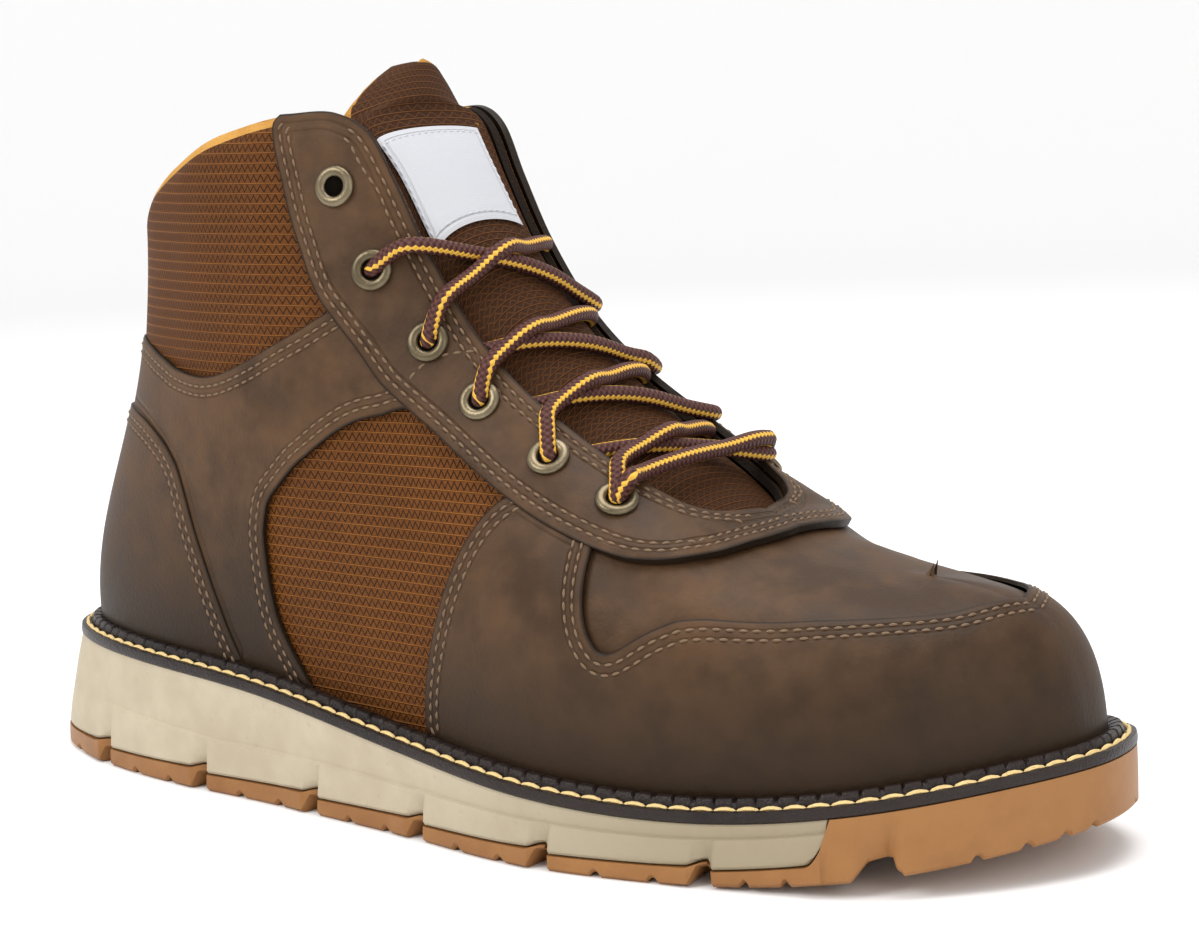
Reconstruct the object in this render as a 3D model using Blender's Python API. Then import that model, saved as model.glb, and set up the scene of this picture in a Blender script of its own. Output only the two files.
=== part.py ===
"""Wedge sole work boot, right foot: sole, hollow upper with its overlays, tongue, eyelets and lace crossings.

Sizes are millimetres and become metres where a mesh is made.
X runs from heel to toe, +Y is the medial side, -Y the lateral side, Z is up and the ground is z = 0.
"""
import math

import bmesh
import bpy
import numpy as np

MM = 0.001
CLEAR = 0.3

# Sole
LENGTH = 307.5
BALL_WIDTH = 110.0
HEEL_STACK = 32.2
HEEL_RAKE = 9.0
TOE_SPRING = 10.5
GUM_HEEL = 5.8
GUM_TOE = 4.2
LUG_GAP_DEPTH = 4.2
LUG_GAP_WIDTH = 3.0
TOE_NOTCH_WIDTH = 7.0
STEP_DEPTH = 0.8

# Welt and insole
WELT_WIDTH = 11.0
WELT_THICK = 2.5
BEAD_HEIGHT = 1.6
BEAD_FOOT = 5.1
INSOLE_THICK = 3.4
INSOLE_ROOM = 1.0

# Upper
COLLAR_HEIGHT = 168.5
SHELL_WALL = 2.2
COLLAR_WALL = 7.0
OVERLAY_WALL = 1.15
TOP_LAYER_STEP = 0.75
SHELL_GAP = 0.75

# Tongue, label, eyelets and laces
TONGUE_GAP = 0.6
TONGUE_WALL = 4.5
TONGUE_CURL = 6.0
LABEL_THICK = 0.8
EYELET_OUTER = 4.9
EYELET_HOLE = 2.3
EYELET_HEIGHT = 1.4
LACE_RADIUS = 2.0
LACE_GAP = 0.6
LACE_BAR_GAP = 0.0

# Ground outline as shares of length and ball width: heel back, lateral side, toe, medial side
SOLE_OUTLINE = [
    (-0.50, 0.01), (-0.48, -0.18), (-0.415, -0.30), (-0.30, -0.38), (-0.15, -0.41),
    (0.0, -0.455), (0.13, -0.50), (0.27, -0.44), (0.39, -0.335), (0.465, -0.14),
    (0.50, 0.08), (0.475, 0.31), (0.375, 0.445), (0.23, 0.50), (0.08, 0.43),
    (-0.06, 0.35), (-0.21, 0.345), (-0.32, 0.375), (-0.42, 0.325), (-0.48, 0.20),
]
RAKE_START = -0.2
RAKE_NARROW = 0.03
SPRING_START = 0.23
SPRING_END = 0.5
WRAP_START = 0.80
DRAFT = 0.0015

# Top of the midsole: x as a share of length, z as a share of the heel stack
MIDSOLE_TOP = {"x": [-0.5, -0.2, 0.06, 0.26, 0.5], "z": [1.0, 0.88, 0.56, 0.44, 0.74]}

# Gaps between lugs by k, which runs 0 at the heel back to 1 at the toe tip, the last one under the toe wrap
LUG_GAPS = [0.170, 0.287, 0.402, 0.506, 0.616, 0.727]
TOE_NOTCH = 0.839

# Top line of the upper: collar, throat edge, then the ridge of the vamp.
# x is a share of length, half a share of ball width, z a share of collar height.
TOP = {
    "k": [0.0, 0.05, 0.10, 0.20, 0.30, 0.38, 0.41, 0.43, 0.46, 0.50,
          0.54, 0.58, 0.62, 0.66, 0.70, 0.72, 0.80, 0.90, 1.0],
    "x": [-0.395, -0.387, -0.365, -0.30, -0.22, -0.135, -0.095, -0.073, -0.05, -0.02,
          0.02, 0.067, 0.125, 0.185, 0.23, 0.245, 0.29, 0.335, 0.36],
    "half": [0, 0.08, 0.15, 0.25, 0.305, 0.285, 0.255, 0.235, 0.22, 0.215,
             0.215, 0.22, 0.22, 0.185, 0.10, 0, 0, 0, 0],
    "z": [0.85, 0.855, 0.875, 0.925, 0.975, 1.0, 0.998, 0.975, 0.90, 0.795,
          0.69, 0.61, 0.54, 0.475, 0.435, 0.425, 0.40, 0.38, 0.375],
}
RIDGE_START = 0.72
MIDLINE = {"k": [0, 0.3, 0.5, 0.72, 1.0], "y": [0.01, 0.015, 0.015, 0.035, 0.06]}

# Section shape: reach of the curve outward (share of ball width) and upward (share of collar height)
SECTION = {
    "k": [0.0, 0.2, 0.4, 0.55, 0.72, 0.85, 1.0],
    "foot_out": [0.03, 0.015, 0.03, 0.035, 0.065, 0.015, -0.02],
    "foot_up": [0.20, 0.24, 0.265, 0.235, 0.21, 0.195, 0.18],
    "top_out": [-0.045, -0.03, 0.06, 0.105, 0.30, 0.27, 0.215],
    "top_up": [-0.315, -0.32, -0.26, -0.135, -0.02, 0, 0],
}

# Heights of the layers, measured out from the main form
LEVEL_ONE = 0.0
LEVEL_TWO = LEVEL_ONE + TOP_LAYER_STEP
OVERLAY_BACK = LEVEL_ONE - OVERLAY_WALL
SHELL_FACE = OVERLAY_BACK - SHELL_GAP
FEATHER_INSET = BEAD_FOOT + LEVEL_TWO + 2 * CLEAR
FEATHER_RISE = CLEAR + WELT_THICK + CLEAR
INSOLE_INSET = WELT_WIDTH + INSOLE_ROOM
EDGE_GAP = 0.012

# Overlay edges on one side: (k, t) pairs, t running 0 at the feather line to 1 at the top line
EYESTAY = {
    "inner": [(0.42, 1), (0.435, 1), (0.455, 1), (0.49, 1), (0.53, 1),
              (0.575, 1), (0.62, 1), (0.66, 1), (0.695, 1), (0.72, 1)],
    "outer": [(0.365, 1), (0.376, 0.91), (0.39, 0.80), (0.415, 0.67), (0.46, 0.625),
              (0.54, 0.67), (0.62, 0.66), (0.69, 0.73), (0.745, 0.90), (0.80, 1)],
}
COUNTER_EDGE = [(0.305, 0), (0.288, 0.08), (0.262, 0.24), (0.24, 0.375), (0.225, 0.43), (0.20, 0.48),
                (0.16, 0.535), (0.11, 0.58), (0.07, 0.60), (0.03, 0.612), (0, 0.615)]
COUNTER_MIDDLE = [0, 0.09, 0.24, 0.36, 0.42, 0.47, 0.515, 0.55, 0.575, 0.595, 0.615]
COUNTER_COLUMNS = 10
COUNTER_GAP = (0.005, 0.010)
BAND_FRONT = [(0.372, 0), (0.342, 0.115), (0.335, 0.255), (0.340, 0.32), (0.346, 0.345), (0.355, 0.365),
              (0.364, 0.384), (0.376, 0.408), (0.388, 0.427), (0.42, 0.48), (0.438, 0.51), (0.458, 0.55),
              (0.478, 0.598)]
BAND_BACK_TOP = [(0, 0.77), (0.03, 0.768), (0.06, 0.763), (0.10, 0.75),
                 (0.145, 0.71), (0.19, 0.66), (0.23, 0.615)]
BAND_FRONT_TOP = [(0.28, 0.575), (0.328, 0.59), (0.372, 0.62), (0.402, 0.652)]
BAND_SPLIT = 0.23
BAND_SPLIT_ROWS = 4
MUDGUARD = {
    "top": [(0.59, None), (0.615, None), (0.64, None), (0.637, 0.48), (0.642, 0.37), (0.655, 0.345),
            (0.685, 0.45), (0.71, 0.50), (0.77, 0.515), (0.86, 0.58), (0.95, 0.61), (1.0, 0.61)],
    "foot": [0.49, 0.52, 0.56, 0.59, 0.615, 0.64, 0.67, 0.70, 0.77, 0.86, 0.95, 1.0],
}
MUDGUARD_BOW = 0.018
MUDGUARD_BOW_ROWS = 6

# Eyelets from the toe end up, as (k, t)
EYELETS = [(0.645, 0.865), (0.605, 0.86), (0.555, 0.85), (0.508, 0.82), (0.445, 0.775), (0.412, 0.87)]

# Tongue stations by k, then rows above the throat as shares: x, half width, z and the drop at the sides
TONGUE_KS = [0.745, 0.72, 0.69, 0.66, 0.62, 0.58, 0.54, 0.5, 0.46, 0.425]
TONGUE_TOP = [
    # x, half width, z, drop
    (-0.085, 0.21, 1.02, 0.03),
    (-0.095, 0.185, 1.055, 0.025),
    (-0.105, 0.12, 1.078, 0.01),
]
TONGUE_WING = {"k": [0.425, 0.5], "t": [0.93, 0.80]}
TONGUE_ARCH = 0.36
TONGUE_ACROSS = 6
LABEL_ROWS = [7.3, 8, 9]
LABEL_COLUMNS = [2.6, 3, 4, 5, 6, 7, 7.4]

# Laces: ends beside each eyelet by k, and the arch between them
LACE_ENDS = [0.655, 0.615, 0.566, 0.522, 0.478]
LACE_T = 0.94
LACE_APART = 0.0055
LACE_REACH = 0.16
LACE_LIFT = 2.3
INSTEP_UP = (0.6, 0, 0.8)
LACE_STEPS = 8

LEATHER = (0.075, 0.043, 0.027)
GUM = (0.48, 0.24, 0.07)
CREAM = (0.62, 0.56, 0.42)
BLACK_BROWN = (0.022, 0.014, 0.012)
FABRIC = (0.15, 0.062, 0.018)
TAN = (0.56, 0.30, 0.08)
BRASS = (0.23, 0.18, 0.10)
WHITE = (0.72, 0.72, 0.72)
LACE = (0.10, 0.035, 0.025)


def smooth(knots, values, at, level_start=False):
    """Cubic curve through the knots, read at the given places. It can leave its first knot level."""
    knots = np.asarray(knots, float)
    values = np.asarray(values, float)
    at = np.clip(at, knots[0], knots[-1])
    slopes = np.gradient(values, knots)
    if level_start:
        slopes[0] = 0
    i = np.clip(np.searchsorted(knots, at, side="right") - 1, 0, len(knots) - 2)
    h = knots[i + 1] - knots[i]
    s = (at - knots[i]) / h
    start = (1 + 2 * s) * (1 - s) ** 2 * values[i] + s * (1 - s) ** 2 * h * slopes[i]
    end = s * s * (3 - 2 * s) * values[i + 1] + s * s * (s - 1) * h * slopes[i + 1]
    return start + end


def closed_curve(points, steps=24):
    """Catmull-Rom loop through the outline's points."""
    p = np.asarray(points, float)
    n = len(p)
    fine = []
    for i in range(n):
        a, b, c, d = p[i - 1], p[i], p[(i + 1) % n], p[(i + 2) % n]
        for s in np.arange(0, 1, 1 / steps):
            fine.append(0.5 * (2 * b + (c - a) * s + (2 * a - 5 * b + 4 * c - d) * s * s
                               + (3 * b - a - 3 * c + d) * s ** 3))
    return np.array(fine)


def half_outlines(rake):
    """Lateral (-1) and medial (+1) halves of the outline, each read by k from heel back to toe tip."""
    loop = closed_curve(SOLE_OUTLINE) * (LENGTH, BALL_WIDTH)
    start = RAKE_START * LENGTH
    s = np.clip((start - loop[:, 0]) / (start - loop[:, 0].min()), 0, 1)
    loop = np.c_[loop[:, 0] + rake * s ** 2, loop[:, 1] * (1 - RAKE_NARROW * s * (rake > 0))]
    heel = loop[:, 0].argmin()
    loop = np.roll(loop, -heel, axis=0)
    toe = loop[:, 0].argmax()
    halves = {}
    for side, line in ((-1, loop[:toe + 1]), (1, np.vstack([loop[toe:], loop[:1]])[::-1])):
        run = np.r_[0, np.cumsum(np.linalg.norm(np.diff(line, axis=0), axis=1))]
        run /= run[-1]
        k = np.linspace(0, 1, 401)
        xy = np.c_[np.interp(k, run, line[:, 0]), np.interp(k, run, line[:, 1])]
        along = np.gradient(xy, k, axis=0)
        along /= np.linalg.norm(along, axis=1)[:, None]
        out = np.c_[along[:, 1], -along[:, 0]] * -side
        out[0] = (-1, 0)
        out[-1] = (1, 0)
        halves[side] = (k, xy, out)
    return halves


GROUND = half_outlines(0.0)
WELT = half_outlines(HEEL_RAKE)


def plan(halves, side, k, inset):
    """Plan point inset from an outline, with the outward direction there."""
    ks, xy, out = halves[side]
    nx = np.interp(k, ks, out[:, 0])
    ny = np.interp(k, ks, out[:, 1])
    length = np.hypot(nx, ny)
    nx = nx / length
    ny = ny / length
    x = np.interp(k, ks, xy[:, 0]) - inset * nx
    y = np.interp(k, ks, xy[:, 1]) - inset * ny
    return x, y, nx, ny


def midsole_top(x):
    return HEEL_STACK * smooth(MIDSOLE_TOP["x"], MIDSOLE_TOP["z"], x / LENGTH)


def ground_z(x):
    """Underside of the sole: flat from heel to ball, then the toe spring."""
    rise = np.clip((x / LENGTH - SPRING_START) / (SPRING_END - SPRING_START), 0, None)
    return TOE_SPRING * rise ** 1.8


def top_point(k):
    """x and z of the top line at k. Both are level at the heel back, where the two sides meet."""
    x = LENGTH * smooth(TOP["k"], TOP["x"], k, level_start=True)
    z = COLLAR_HEIGHT * smooth(TOP["k"], TOP["z"], k, level_start=True)
    return x, z


def form(s, t):
    """Point of the upper's main form. s runs -1..0 on the lateral side and 0..1 on the medial side."""
    s = np.asarray(s, float)
    t = np.asarray(t, float)
    s = np.where(s > 1, s - 2, np.where(s < -1, s + 2, s))
    k = np.abs(s)
    side = np.where(s < 0, -1.0, 1.0)
    lateral = plan(WELT, -1, k, FEATHER_INSET)
    medial = plan(WELT, 1, k, FEATHER_INSET)
    bx, by, nx, ny = [np.where(side < 0, a, b) for a, b in zip(lateral, medial)]
    bz = midsole_top(bx) + FEATHER_RISE
    x, z = top_point(k)
    half = BALL_WIDTH * np.where(k >= RIDGE_START, 0, np.clip(smooth(TOP["k"], TOP["half"], k), 0, None))
    mid = BALL_WIDTH * smooth(MIDLINE["k"], MIDLINE["y"], k)
    foot_out = BALL_WIDTH * smooth(SECTION["k"], SECTION["foot_out"], k)
    foot_up = COLLAR_HEIGHT * smooth(SECTION["k"], SECTION["foot_up"], k)
    top_out = BALL_WIDTH * smooth(SECTION["k"], SECTION["top_out"], k)
    top_up = COLLAR_HEIGHT * smooth(SECTION["k"], SECTION["top_up"], k)
    back_x, back_z = top_point(k - 0.01)
    ridge_slope = (z - back_z) / np.clip(x - back_x, 0.2, None)
    on_ridge = np.clip((k - RIDGE_START + 0.04) / 0.06, 0, 1)
    lift = top_up * (1 - on_ridge) + on_ridge * top_out * nx * ridge_slope
    foot = np.stack([bx, by, bz], -1)
    top = np.stack([x, mid + side * half, z], -1)
    low = foot + np.stack([nx * foot_out, ny * foot_out, foot_up], -1)
    high = top + np.stack([nx * top_out, ny * top_out, lift], -1)
    t = t[..., None]
    return foot * (1 - t) ** 3 + 3 * low * t * (1 - t) ** 2 + 3 * high * t * t * (1 - t) + top * t ** 3


def outward(s, t):
    """Unit normal of the main form."""
    e = 0.004
    t = np.asarray(t, float)
    low = np.clip(t - e, 0, 1)
    high = np.clip(t + e, 0, 1)
    up = form(s, high) - form(s, low)
    along = form(np.asarray(s) + e, np.clip(t, 0, 0.995)) - form(np.asarray(s) - e, np.clip(t, 0, 0.995))
    n = np.cross(up, along)
    return n / np.linalg.norm(n, axis=-1)[..., None]


def layer(s, t, height):
    """Point at a height above the main form. On the centre lines the normal stays in the middle plane."""
    s = np.asarray(s, float)
    t = np.asarray(t, float)
    n = outward(s, t)
    other = outward(-s, t)
    tiny = 1e-9
    ridge = (t > 1 - tiny) & (np.abs(s) >= RIDGE_START - tiny)
    middle = (np.abs(s) < tiny) | (np.abs(s) > 1 - tiny) | ridge
    both = n + np.where(middle[..., None], other, n)
    both = both / np.linalg.norm(both, axis=-1)[..., None]
    return form(s, t) + both * height


def material(name, colour, roughness, metallic=0.0):
    m = bpy.data.materials.new(name)
    m.use_nodes = True
    shader = m.node_tree.nodes["Principled BSDF"]
    shader.inputs["Base Color"].default_value = (*colour, 1)
    shader.inputs["Roughness"].default_value = roughness
    shader.inputs["Metallic"].default_value = metallic
    m.diffuse_color = (*colour, 1)
    return m


def add_object(name, points, faces, mat, merge=0.02):
    """Object from millimetre points, with doubles merged and normals made consistent."""
    bm = bmesh.new()
    verts = [bm.verts.new([float(c) * MM for c in p]) for p in points]
    bm.verts.ensure_lookup_table()
    for face in faces:
        bm.faces.new([verts[i] for i in face])
    bmesh.ops.remove_doubles(bm, verts=bm.verts, dist=merge * MM)
    bmesh.ops.dissolve_degenerate(bm, edges=bm.edges, dist=0.005 * MM)
    bmesh.ops.recalc_face_normals(bm, faces=bm.faces)
    bmesh.ops.triangulate(bm, faces=bm.faces, quad_method="BEAUTY")
    mesh = bpy.data.meshes.new(name)
    bm.to_mesh(mesh)
    bm.free()
    mesh.materials.append(mat)
    mesh.shade_smooth()
    mesh.set_sharp_from_angle(angle=math.radians(40))
    obj = bpy.data.objects.new(name, mesh)
    bpy.context.scene.collection.objects.link(obj)
    return obj


def grid_faces(rows, columns, offset=0):
    return [(offset + i * columns + j, offset + i * columns + j + 1,
             offset + (i + 1) * columns + j + 1, offset + (i + 1) * columns + j)
            for i in range(rows - 1) for j in range(columns - 1)]


def sheet_object(name, patches, low, high, mat):
    """Overlay or shell between two heights of the main form. Each patch is a grid of (s, t)."""
    points = {}
    verts = []
    faces = []
    edges = {}
    for grid in patches:
        rows, columns = grid.shape[:2]
        s, t = grid[..., 0], grid[..., 1]
        keys = np.round(form(s, t), 2)
        faces_at = [layer(s, t, low(s, t)), layer(s, t, high(s, t))]
        sheets = []
        for level in (0, 1):
            index = np.zeros((rows, columns), int)
            for i in range(rows):
                for j in range(columns):
                    key = (*keys[i, j], level)
                    if key not in points:
                        points[key] = len(verts)
                        verts.append(faces_at[level][i, j])
                    index[i, j] = points[key]
            sheets.append(index)
        bottom, top = sheets
        for i in range(rows - 1):
            for j in range(columns - 1):
                ring = [(i, j), (i, j + 1), (i + 1, j + 1), (i + 1, j)]
                outer = [top[a][b] for a, b in ring]
                inner = [bottom[a][b] for a, b in ring]
                outer_ring = [v for n, v in enumerate(outer) if v != outer[n - 1]]
                inner_ring = [v for n, v in enumerate(inner) if v != inner[n - 1]]
                if len(set(outer_ring)) < 3:
                    continue
                faces.append(outer_ring)
                faces.append(inner_ring[::-1])
                for n in range(len(outer_ring)):
                    a, b = outer_ring[n], outer_ring[(n + 1) % len(outer_ring)]
                    c, d = inner_ring[n], inner_ring[(n + 1) % len(inner_ring)]
                    edge = (min(a, b), max(a, b))
                    edges[edge] = None if edge in edges else (a, b, c, d)
    for wall in edges.values():
        if wall is not None:
            a, b, c, d = wall
            faces.append((b, a, c, d))
    return add_object(name, verts, faces, mat, merge=0.001)


def track(rows, a):
    """Point on the path through the rows, a running 0 to 1."""
    p = np.asarray(rows, float)
    u = min(max(a, 0.0), 1.0) * (len(p) - 1)
    i = min(int(u), len(p) - 2)
    return p[i] + (p[i + 1] - p[i]) * (u - i)


def curve_rows(rows, corners=(), each=3):
    """Rows of a smooth curve through the given rows, which keeps the named rows as sharp corners."""
    p = np.asarray(rows, float)
    out = []
    for i in range(len(p) - 1):
        b, c = p[i], p[i + 1]
        before = b if i == 0 or i in corners else p[i - 1]
        after = c if i + 2 > len(p) - 1 or i + 1 in corners else p[i + 2]
        for s in np.arange(0, 1, 1 / each):
            out.append(0.5 * (2 * b + (c - before) * s + (2 * before - 5 * b + 4 * c - after) * s * s
                              + (3 * b - before - 3 * c + after) * s ** 3))
    out.append(p[-1])
    return out


def ruled(side, first, second, steps, across):
    """Grid of (s, t) between two edges, on one side of the boot."""
    grid = np.zeros((steps + 1, across + 1, 2))
    for i in range(steps + 1):
        p = track(first, i / steps)
        q = track(second, i / steps)
        for j in range(across + 1):
            k, t = p + (q - p) * j / across
            grid[i, j] = (side * min(max(k, 0), 1), min(max(t, 0), 1))
    return grid


def eyestay_edge(k):
    """t of the eyestay's outer edge at k, less the gap to the pieces that end there."""
    rows = curve_rows(EYESTAY["outer"], each=6)[18:]
    ks = [r[0] for r in rows]
    ts = [r[1] for r in rows]
    return float(np.interp(k, ks, ts)) - EDGE_GAP


def constant(value):
    return lambda s, t: np.full(np.shape(s), value)[..., None]


def build_upper(mat):
    ks = np.concatenate([np.linspace(0, 0.3, 11)[:-1], np.linspace(0.3, 0.5, 8)[:-1],
                         np.linspace(0.5, RIDGE_START, 8)[:-1], np.linspace(RIDGE_START, 1, 10)])
    ts = np.linspace(0, 1, 11)
    patches = []
    for side in (-1, 1):
        patches.append(np.array([[(side * k, t) for t in ts] for k in ks]))

    def inner(s, t):
        collar = np.clip((t - 0.62) / 0.2, 0, 1) * np.clip((0.36 - np.abs(s)) / 0.08, 0, 1)
        return (SHELL_FACE - SHELL_WALL - (COLLAR_WALL - SHELL_WALL) * collar)[..., None]

    return sheet_object("upper", patches, inner, constant(SHELL_FACE), mat)


def build_eyestay(mat):
    inner = curve_rows(EYESTAY["inner"], each=2)
    outer = curve_rows(EYESTAY["outer"], each=2)
    patches = [ruled(side, inner, outer, len(inner) - 1, 3) for side in (-1, 1)]
    return sheet_object("eyestay", patches, constant(OVERLAY_BACK), constant(LEVEL_TWO), mat)


def build_counter(mat):
    middle = [(0, t) for t in COUNTER_MIDDLE]
    steps = len(middle) - 1
    patches = [ruled(side, COUNTER_EDGE, middle, steps, COUNTER_COLUMNS) for side in (-1, 1)]
    return sheet_object("heel_counter", patches, constant(OVERLAY_BACK), constant(LEVEL_TWO), mat)


def build_band(mat):
    """Over the counter the band runs column by column. Ahead of it, leg and arm fan from the front edge."""
    wide, up = COUNTER_GAP
    edge = [(k + wide, t + up) for k, t in COUNTER_EDGE]
    edge[-1] = (0, edge[-1][1])
    edge[0] = (edge[0][0], 0)
    ks = np.array([k for k, t in edge])[::-1]
    ts = np.array([t for k, t in edge])[::-1]
    split_low = float(np.interp(BAND_SPLIT, ks, ts))
    split_high = BAND_BACK_TOP[-1][1]
    column = [(BAND_SPLIT, t) for t in np.linspace(split_low, split_high, BAND_SPLIT_ROWS + 1)]
    back = [row for row in edge if row[0] > BAND_SPLIT + 0.01] + column + BAND_FRONT_TOP
    patches = []
    for side in (-1, 1):
        patches.append(ruled(side, BAND_FRONT, back, len(back) - 1, 6))
        over = []
        for k in np.linspace(0, BAND_SPLIT, 9):
            low = np.interp(k, ks, ts)
            high = np.interp(k, [r[0] for r in BAND_BACK_TOP], [r[1] for r in BAND_BACK_TOP])
            over.append([(side * k, t) for t in np.linspace(low, high, BAND_SPLIT_ROWS + 1)])
        patches.append(np.array(over))
    return sheet_object("quarter_band", patches, constant(OVERLAY_BACK), constant(LEVEL_ONE), mat)


def build_mudguard(mat):
    top = [(k, eyestay_edge(k) if t is None else t) for k, t in MUDGUARD["top"]]
    foot = curve_rows([(k, 0.0) for k in MUDGUARD["foot"]], each=2)
    top = curve_rows(top, corners=(0, 2), each=2)
    patches = [ruled(side, foot, top, len(foot) - 1, 6) for side in (-1, 1)]
    for side, grid in zip((-1, 1), patches):
        rise = np.linspace(0, 1, grid.shape[1]) ** 0.6
        for i in range(MUDGUARD_BOW_ROWS):
            grid[i, :, 0] -= side * MUDGUARD_BOW * (1 - i / MUDGUARD_BOW_ROWS) ** 2 * np.sin(math.pi * rise)
    return sheet_object("toe_overlay", patches, constant(OVERLAY_BACK), constant(LEVEL_ONE), mat)


def lug_gaps():
    """Place and half width of each gap, in k."""
    side_length = 1.25 * LENGTH
    gaps = [(k, LUG_GAP_WIDTH / 2 / side_length) for k in LUG_GAPS]
    return gaps + [(TOE_NOTCH, TOE_NOTCH_WIDTH / 2 / side_length)]


def sole_stations():
    """k stations shared by the sole's layers, with each lug gap's slanted edges."""
    ks = set(np.round(np.linspace(0, 1, 29), 4)) | {0.018, 0.054, 0.946, 0.982}
    for k, half in lug_gaps():
        ks = {v for v in ks if abs(v - k) > half + 3 * DRAFT}
        ks |= {k - half - DRAFT, k - half, k + half, k + half + DRAFT}
    ks = {v for v in ks if abs(v - WRAP_START) > 3 * DRAFT and v not in (0.0, 1.0)}
    ks |= {WRAP_START - DRAFT, WRAP_START, 0.004, 0.010, 0.990, 0.996}
    return sorted(ks)


def gum_thickness(x):
    return GUM_HEEL + (GUM_TOE - GUM_HEEL) * np.clip((x / LENGTH + 0.5) / 0.78, 0, 1)


def wall_point(side, k, share, inset=0.0):
    """Point of the sole's wall: share 0 is the ground outline and 1 the welt outline."""
    a = plan(GROUND, side, k, inset)
    b = plan(WELT, side, k, inset)
    return a[0] + (b[0] - a[0]) * share, a[1] + (b[1] - a[1]) * share


def station_loft(name, sections, mat):
    """Closed solid from sections with the same number of points, capped at both ends."""
    count = len(sections[0])
    points = [p for section in sections for p in section]
    faces = []
    for i in range(len(sections) - 1):
        for j in range(count):
            n = (j + 1) % count
            faces.append((i * count + j, i * count + n, (i + 1) * count + n, (i + 1) * count + j))
    faces.append(tuple(range(count)))
    last = (len(sections) - 1) * count
    faces.append(tuple(last + j for j in range(count)))
    return add_object(name, points, faces, mat, merge=0.001)


def gap_cut(k, thickness):
    """Depth of the cut at k, which leaves a web of gum."""
    inside = any(abs(k - place) <= half + 1e-9 for place, half in lug_gaps())
    return min(LUG_GAP_DEPTH, 0.75 * thickness) if inside else 0.0


def build_outsole(mat):
    sections = []
    for k in sole_stations():
        wrap = k >= WRAP_START - 1e-9
        corners = []
        for side in (-1, 1):
            x, y = wall_point(side, k, 0.0)
            floor = ground_z(x)
            cut = gap_cut(k, gum_thickness(x))
            top = floor + gum_thickness(x)
            if wrap:
                tx, ty = wall_point(side, k, 1.0)
                top = midsole_top(tx)
            else:
                tx, ty = x, y
            corners.append(((x, y, floor + cut), (tx, ty, top)))
        (low_left, high_left), (low_right, high_right) = corners
        sections.append([low_left, low_right, high_right, high_left])
    return station_loft("outsole", sections, mat)


def build_midsole(mat):
    stations = [k for k in sole_stations() if k < WRAP_START - 1.5 * DRAFT]
    stations.append(WRAP_START - DRAFT - 4 * CLEAR / LENGTH)
    sections = []
    for k in stations:
        rings = []
        for side in (-1, 1):
            x, y = wall_point(side, k, 0.0)
            base = ground_z(x) + gum_thickness(x) + CLEAR
            wx, wy = wall_point(side, k, 1.0)
            top = midsole_top(wx)
            line = []
            for share, inset in ((0.0, 0.3), (0.38, 0.0), (0.42, STEP_DEPTH), (1.0, STEP_DEPTH * 0.5)):
                px, py = wall_point(side, k, share, inset)
                line.append((px, py, base + (top - base) * share))
            rings.append(line)
        sections.append(rings[0][::-1] + rings[1])
    return station_loft("midsole", sections, mat)


def welt_section():
    """Inset from the welt outline and height above the midsole: flat band, raised bead and flange."""
    top = CLEAR + WELT_THICK
    bead = top + BEAD_HEIGHT
    flange = top - 0.2
    middle = CLEAR + WELT_THICK * 0.5
    return [(0.3, CLEAR), (0.0, middle), (0.4, top), (BEAD_FOOT - 1.9, top), (BEAD_FOOT - 1.5, bead - 0.1),
            (BEAD_FOOT - 0.3, bead), (BEAD_FOOT, flange), (WELT_WIDTH, flange), (WELT_WIDTH, CLEAR)]


def build_welt(mat):
    ks = np.linspace(0, 1, 29)
    loop = [(-1, k) for k in ks] + [(1, k) for k in ks[::-1][1:-1]]
    points = []
    count = len(welt_section())
    for side, k in loop:
        for inset, rise in welt_section():
            x, y, nx, ny = plan(WELT, side, k, inset)
            points.append((x, y, midsole_top(x) + rise))
    faces = []
    n = len(loop)
    for i in range(n):
        for j in range(count):
            a, b = i * count + j, i * count + (j + 1) % count
            c, d = ((i + 1) % n) * count + (j + 1) % count, ((i + 1) % n) * count + j
            faces.append((a, b, c, d))
    return add_object("welt", points, faces, mat, merge=0.001)


def build_insole(mat):
    sections = []
    for k in [0.01, 0.03] + list(np.linspace(0.06, 0.94, 20)) + [0.97, 0.99]:
        corners = []
        for side in (-1, 1):
            x, y, nx, ny = plan(WELT, side, k, INSOLE_INSET)
            corners.append((x, y, midsole_top(x)))
        floor = CLEAR + 0.3
        section = [(x, y, z + floor) for x, y, z in corners]
        section += [(x, y, z + floor + INSOLE_THICK) for x, y, z in corners[::-1]]
        sections.append(section)
    return station_loft("insole", sections, mat)


def tongue_row(k, across):
    """Points of the tongue's upper face at station k: under both throat edges and arched between them."""
    depth = SHELL_FACE - SHELL_WALL - TONGUE_GAP
    ts = np.linspace(np.interp(k, TONGUE_WING["k"], TONGUE_WING["t"]), 1.0, 3)
    lateral = [layer(-k, t, depth) for t in ts]
    medial = [layer(k, t, depth) for t in ts[::-1]]
    start, end = lateral[-1], medial[0]
    reach = np.linalg.norm(end - start) * TONGUE_ARCH
    first = start - lateral[-2]
    second = end - medial[1]
    a = start + first / (np.linalg.norm(first) + 1e-9) * reach
    b = end + second / (np.linalg.norm(second) + 1e-9) * reach
    arch = []
    for i in range(1, across):
        w = i / across
        arch.append(start * (1 - w) ** 3 + 3 * a * w * (1 - w) ** 2 + 3 * b * w * w * (1 - w) + end * w ** 3)
    return lateral + arch + medial


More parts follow.
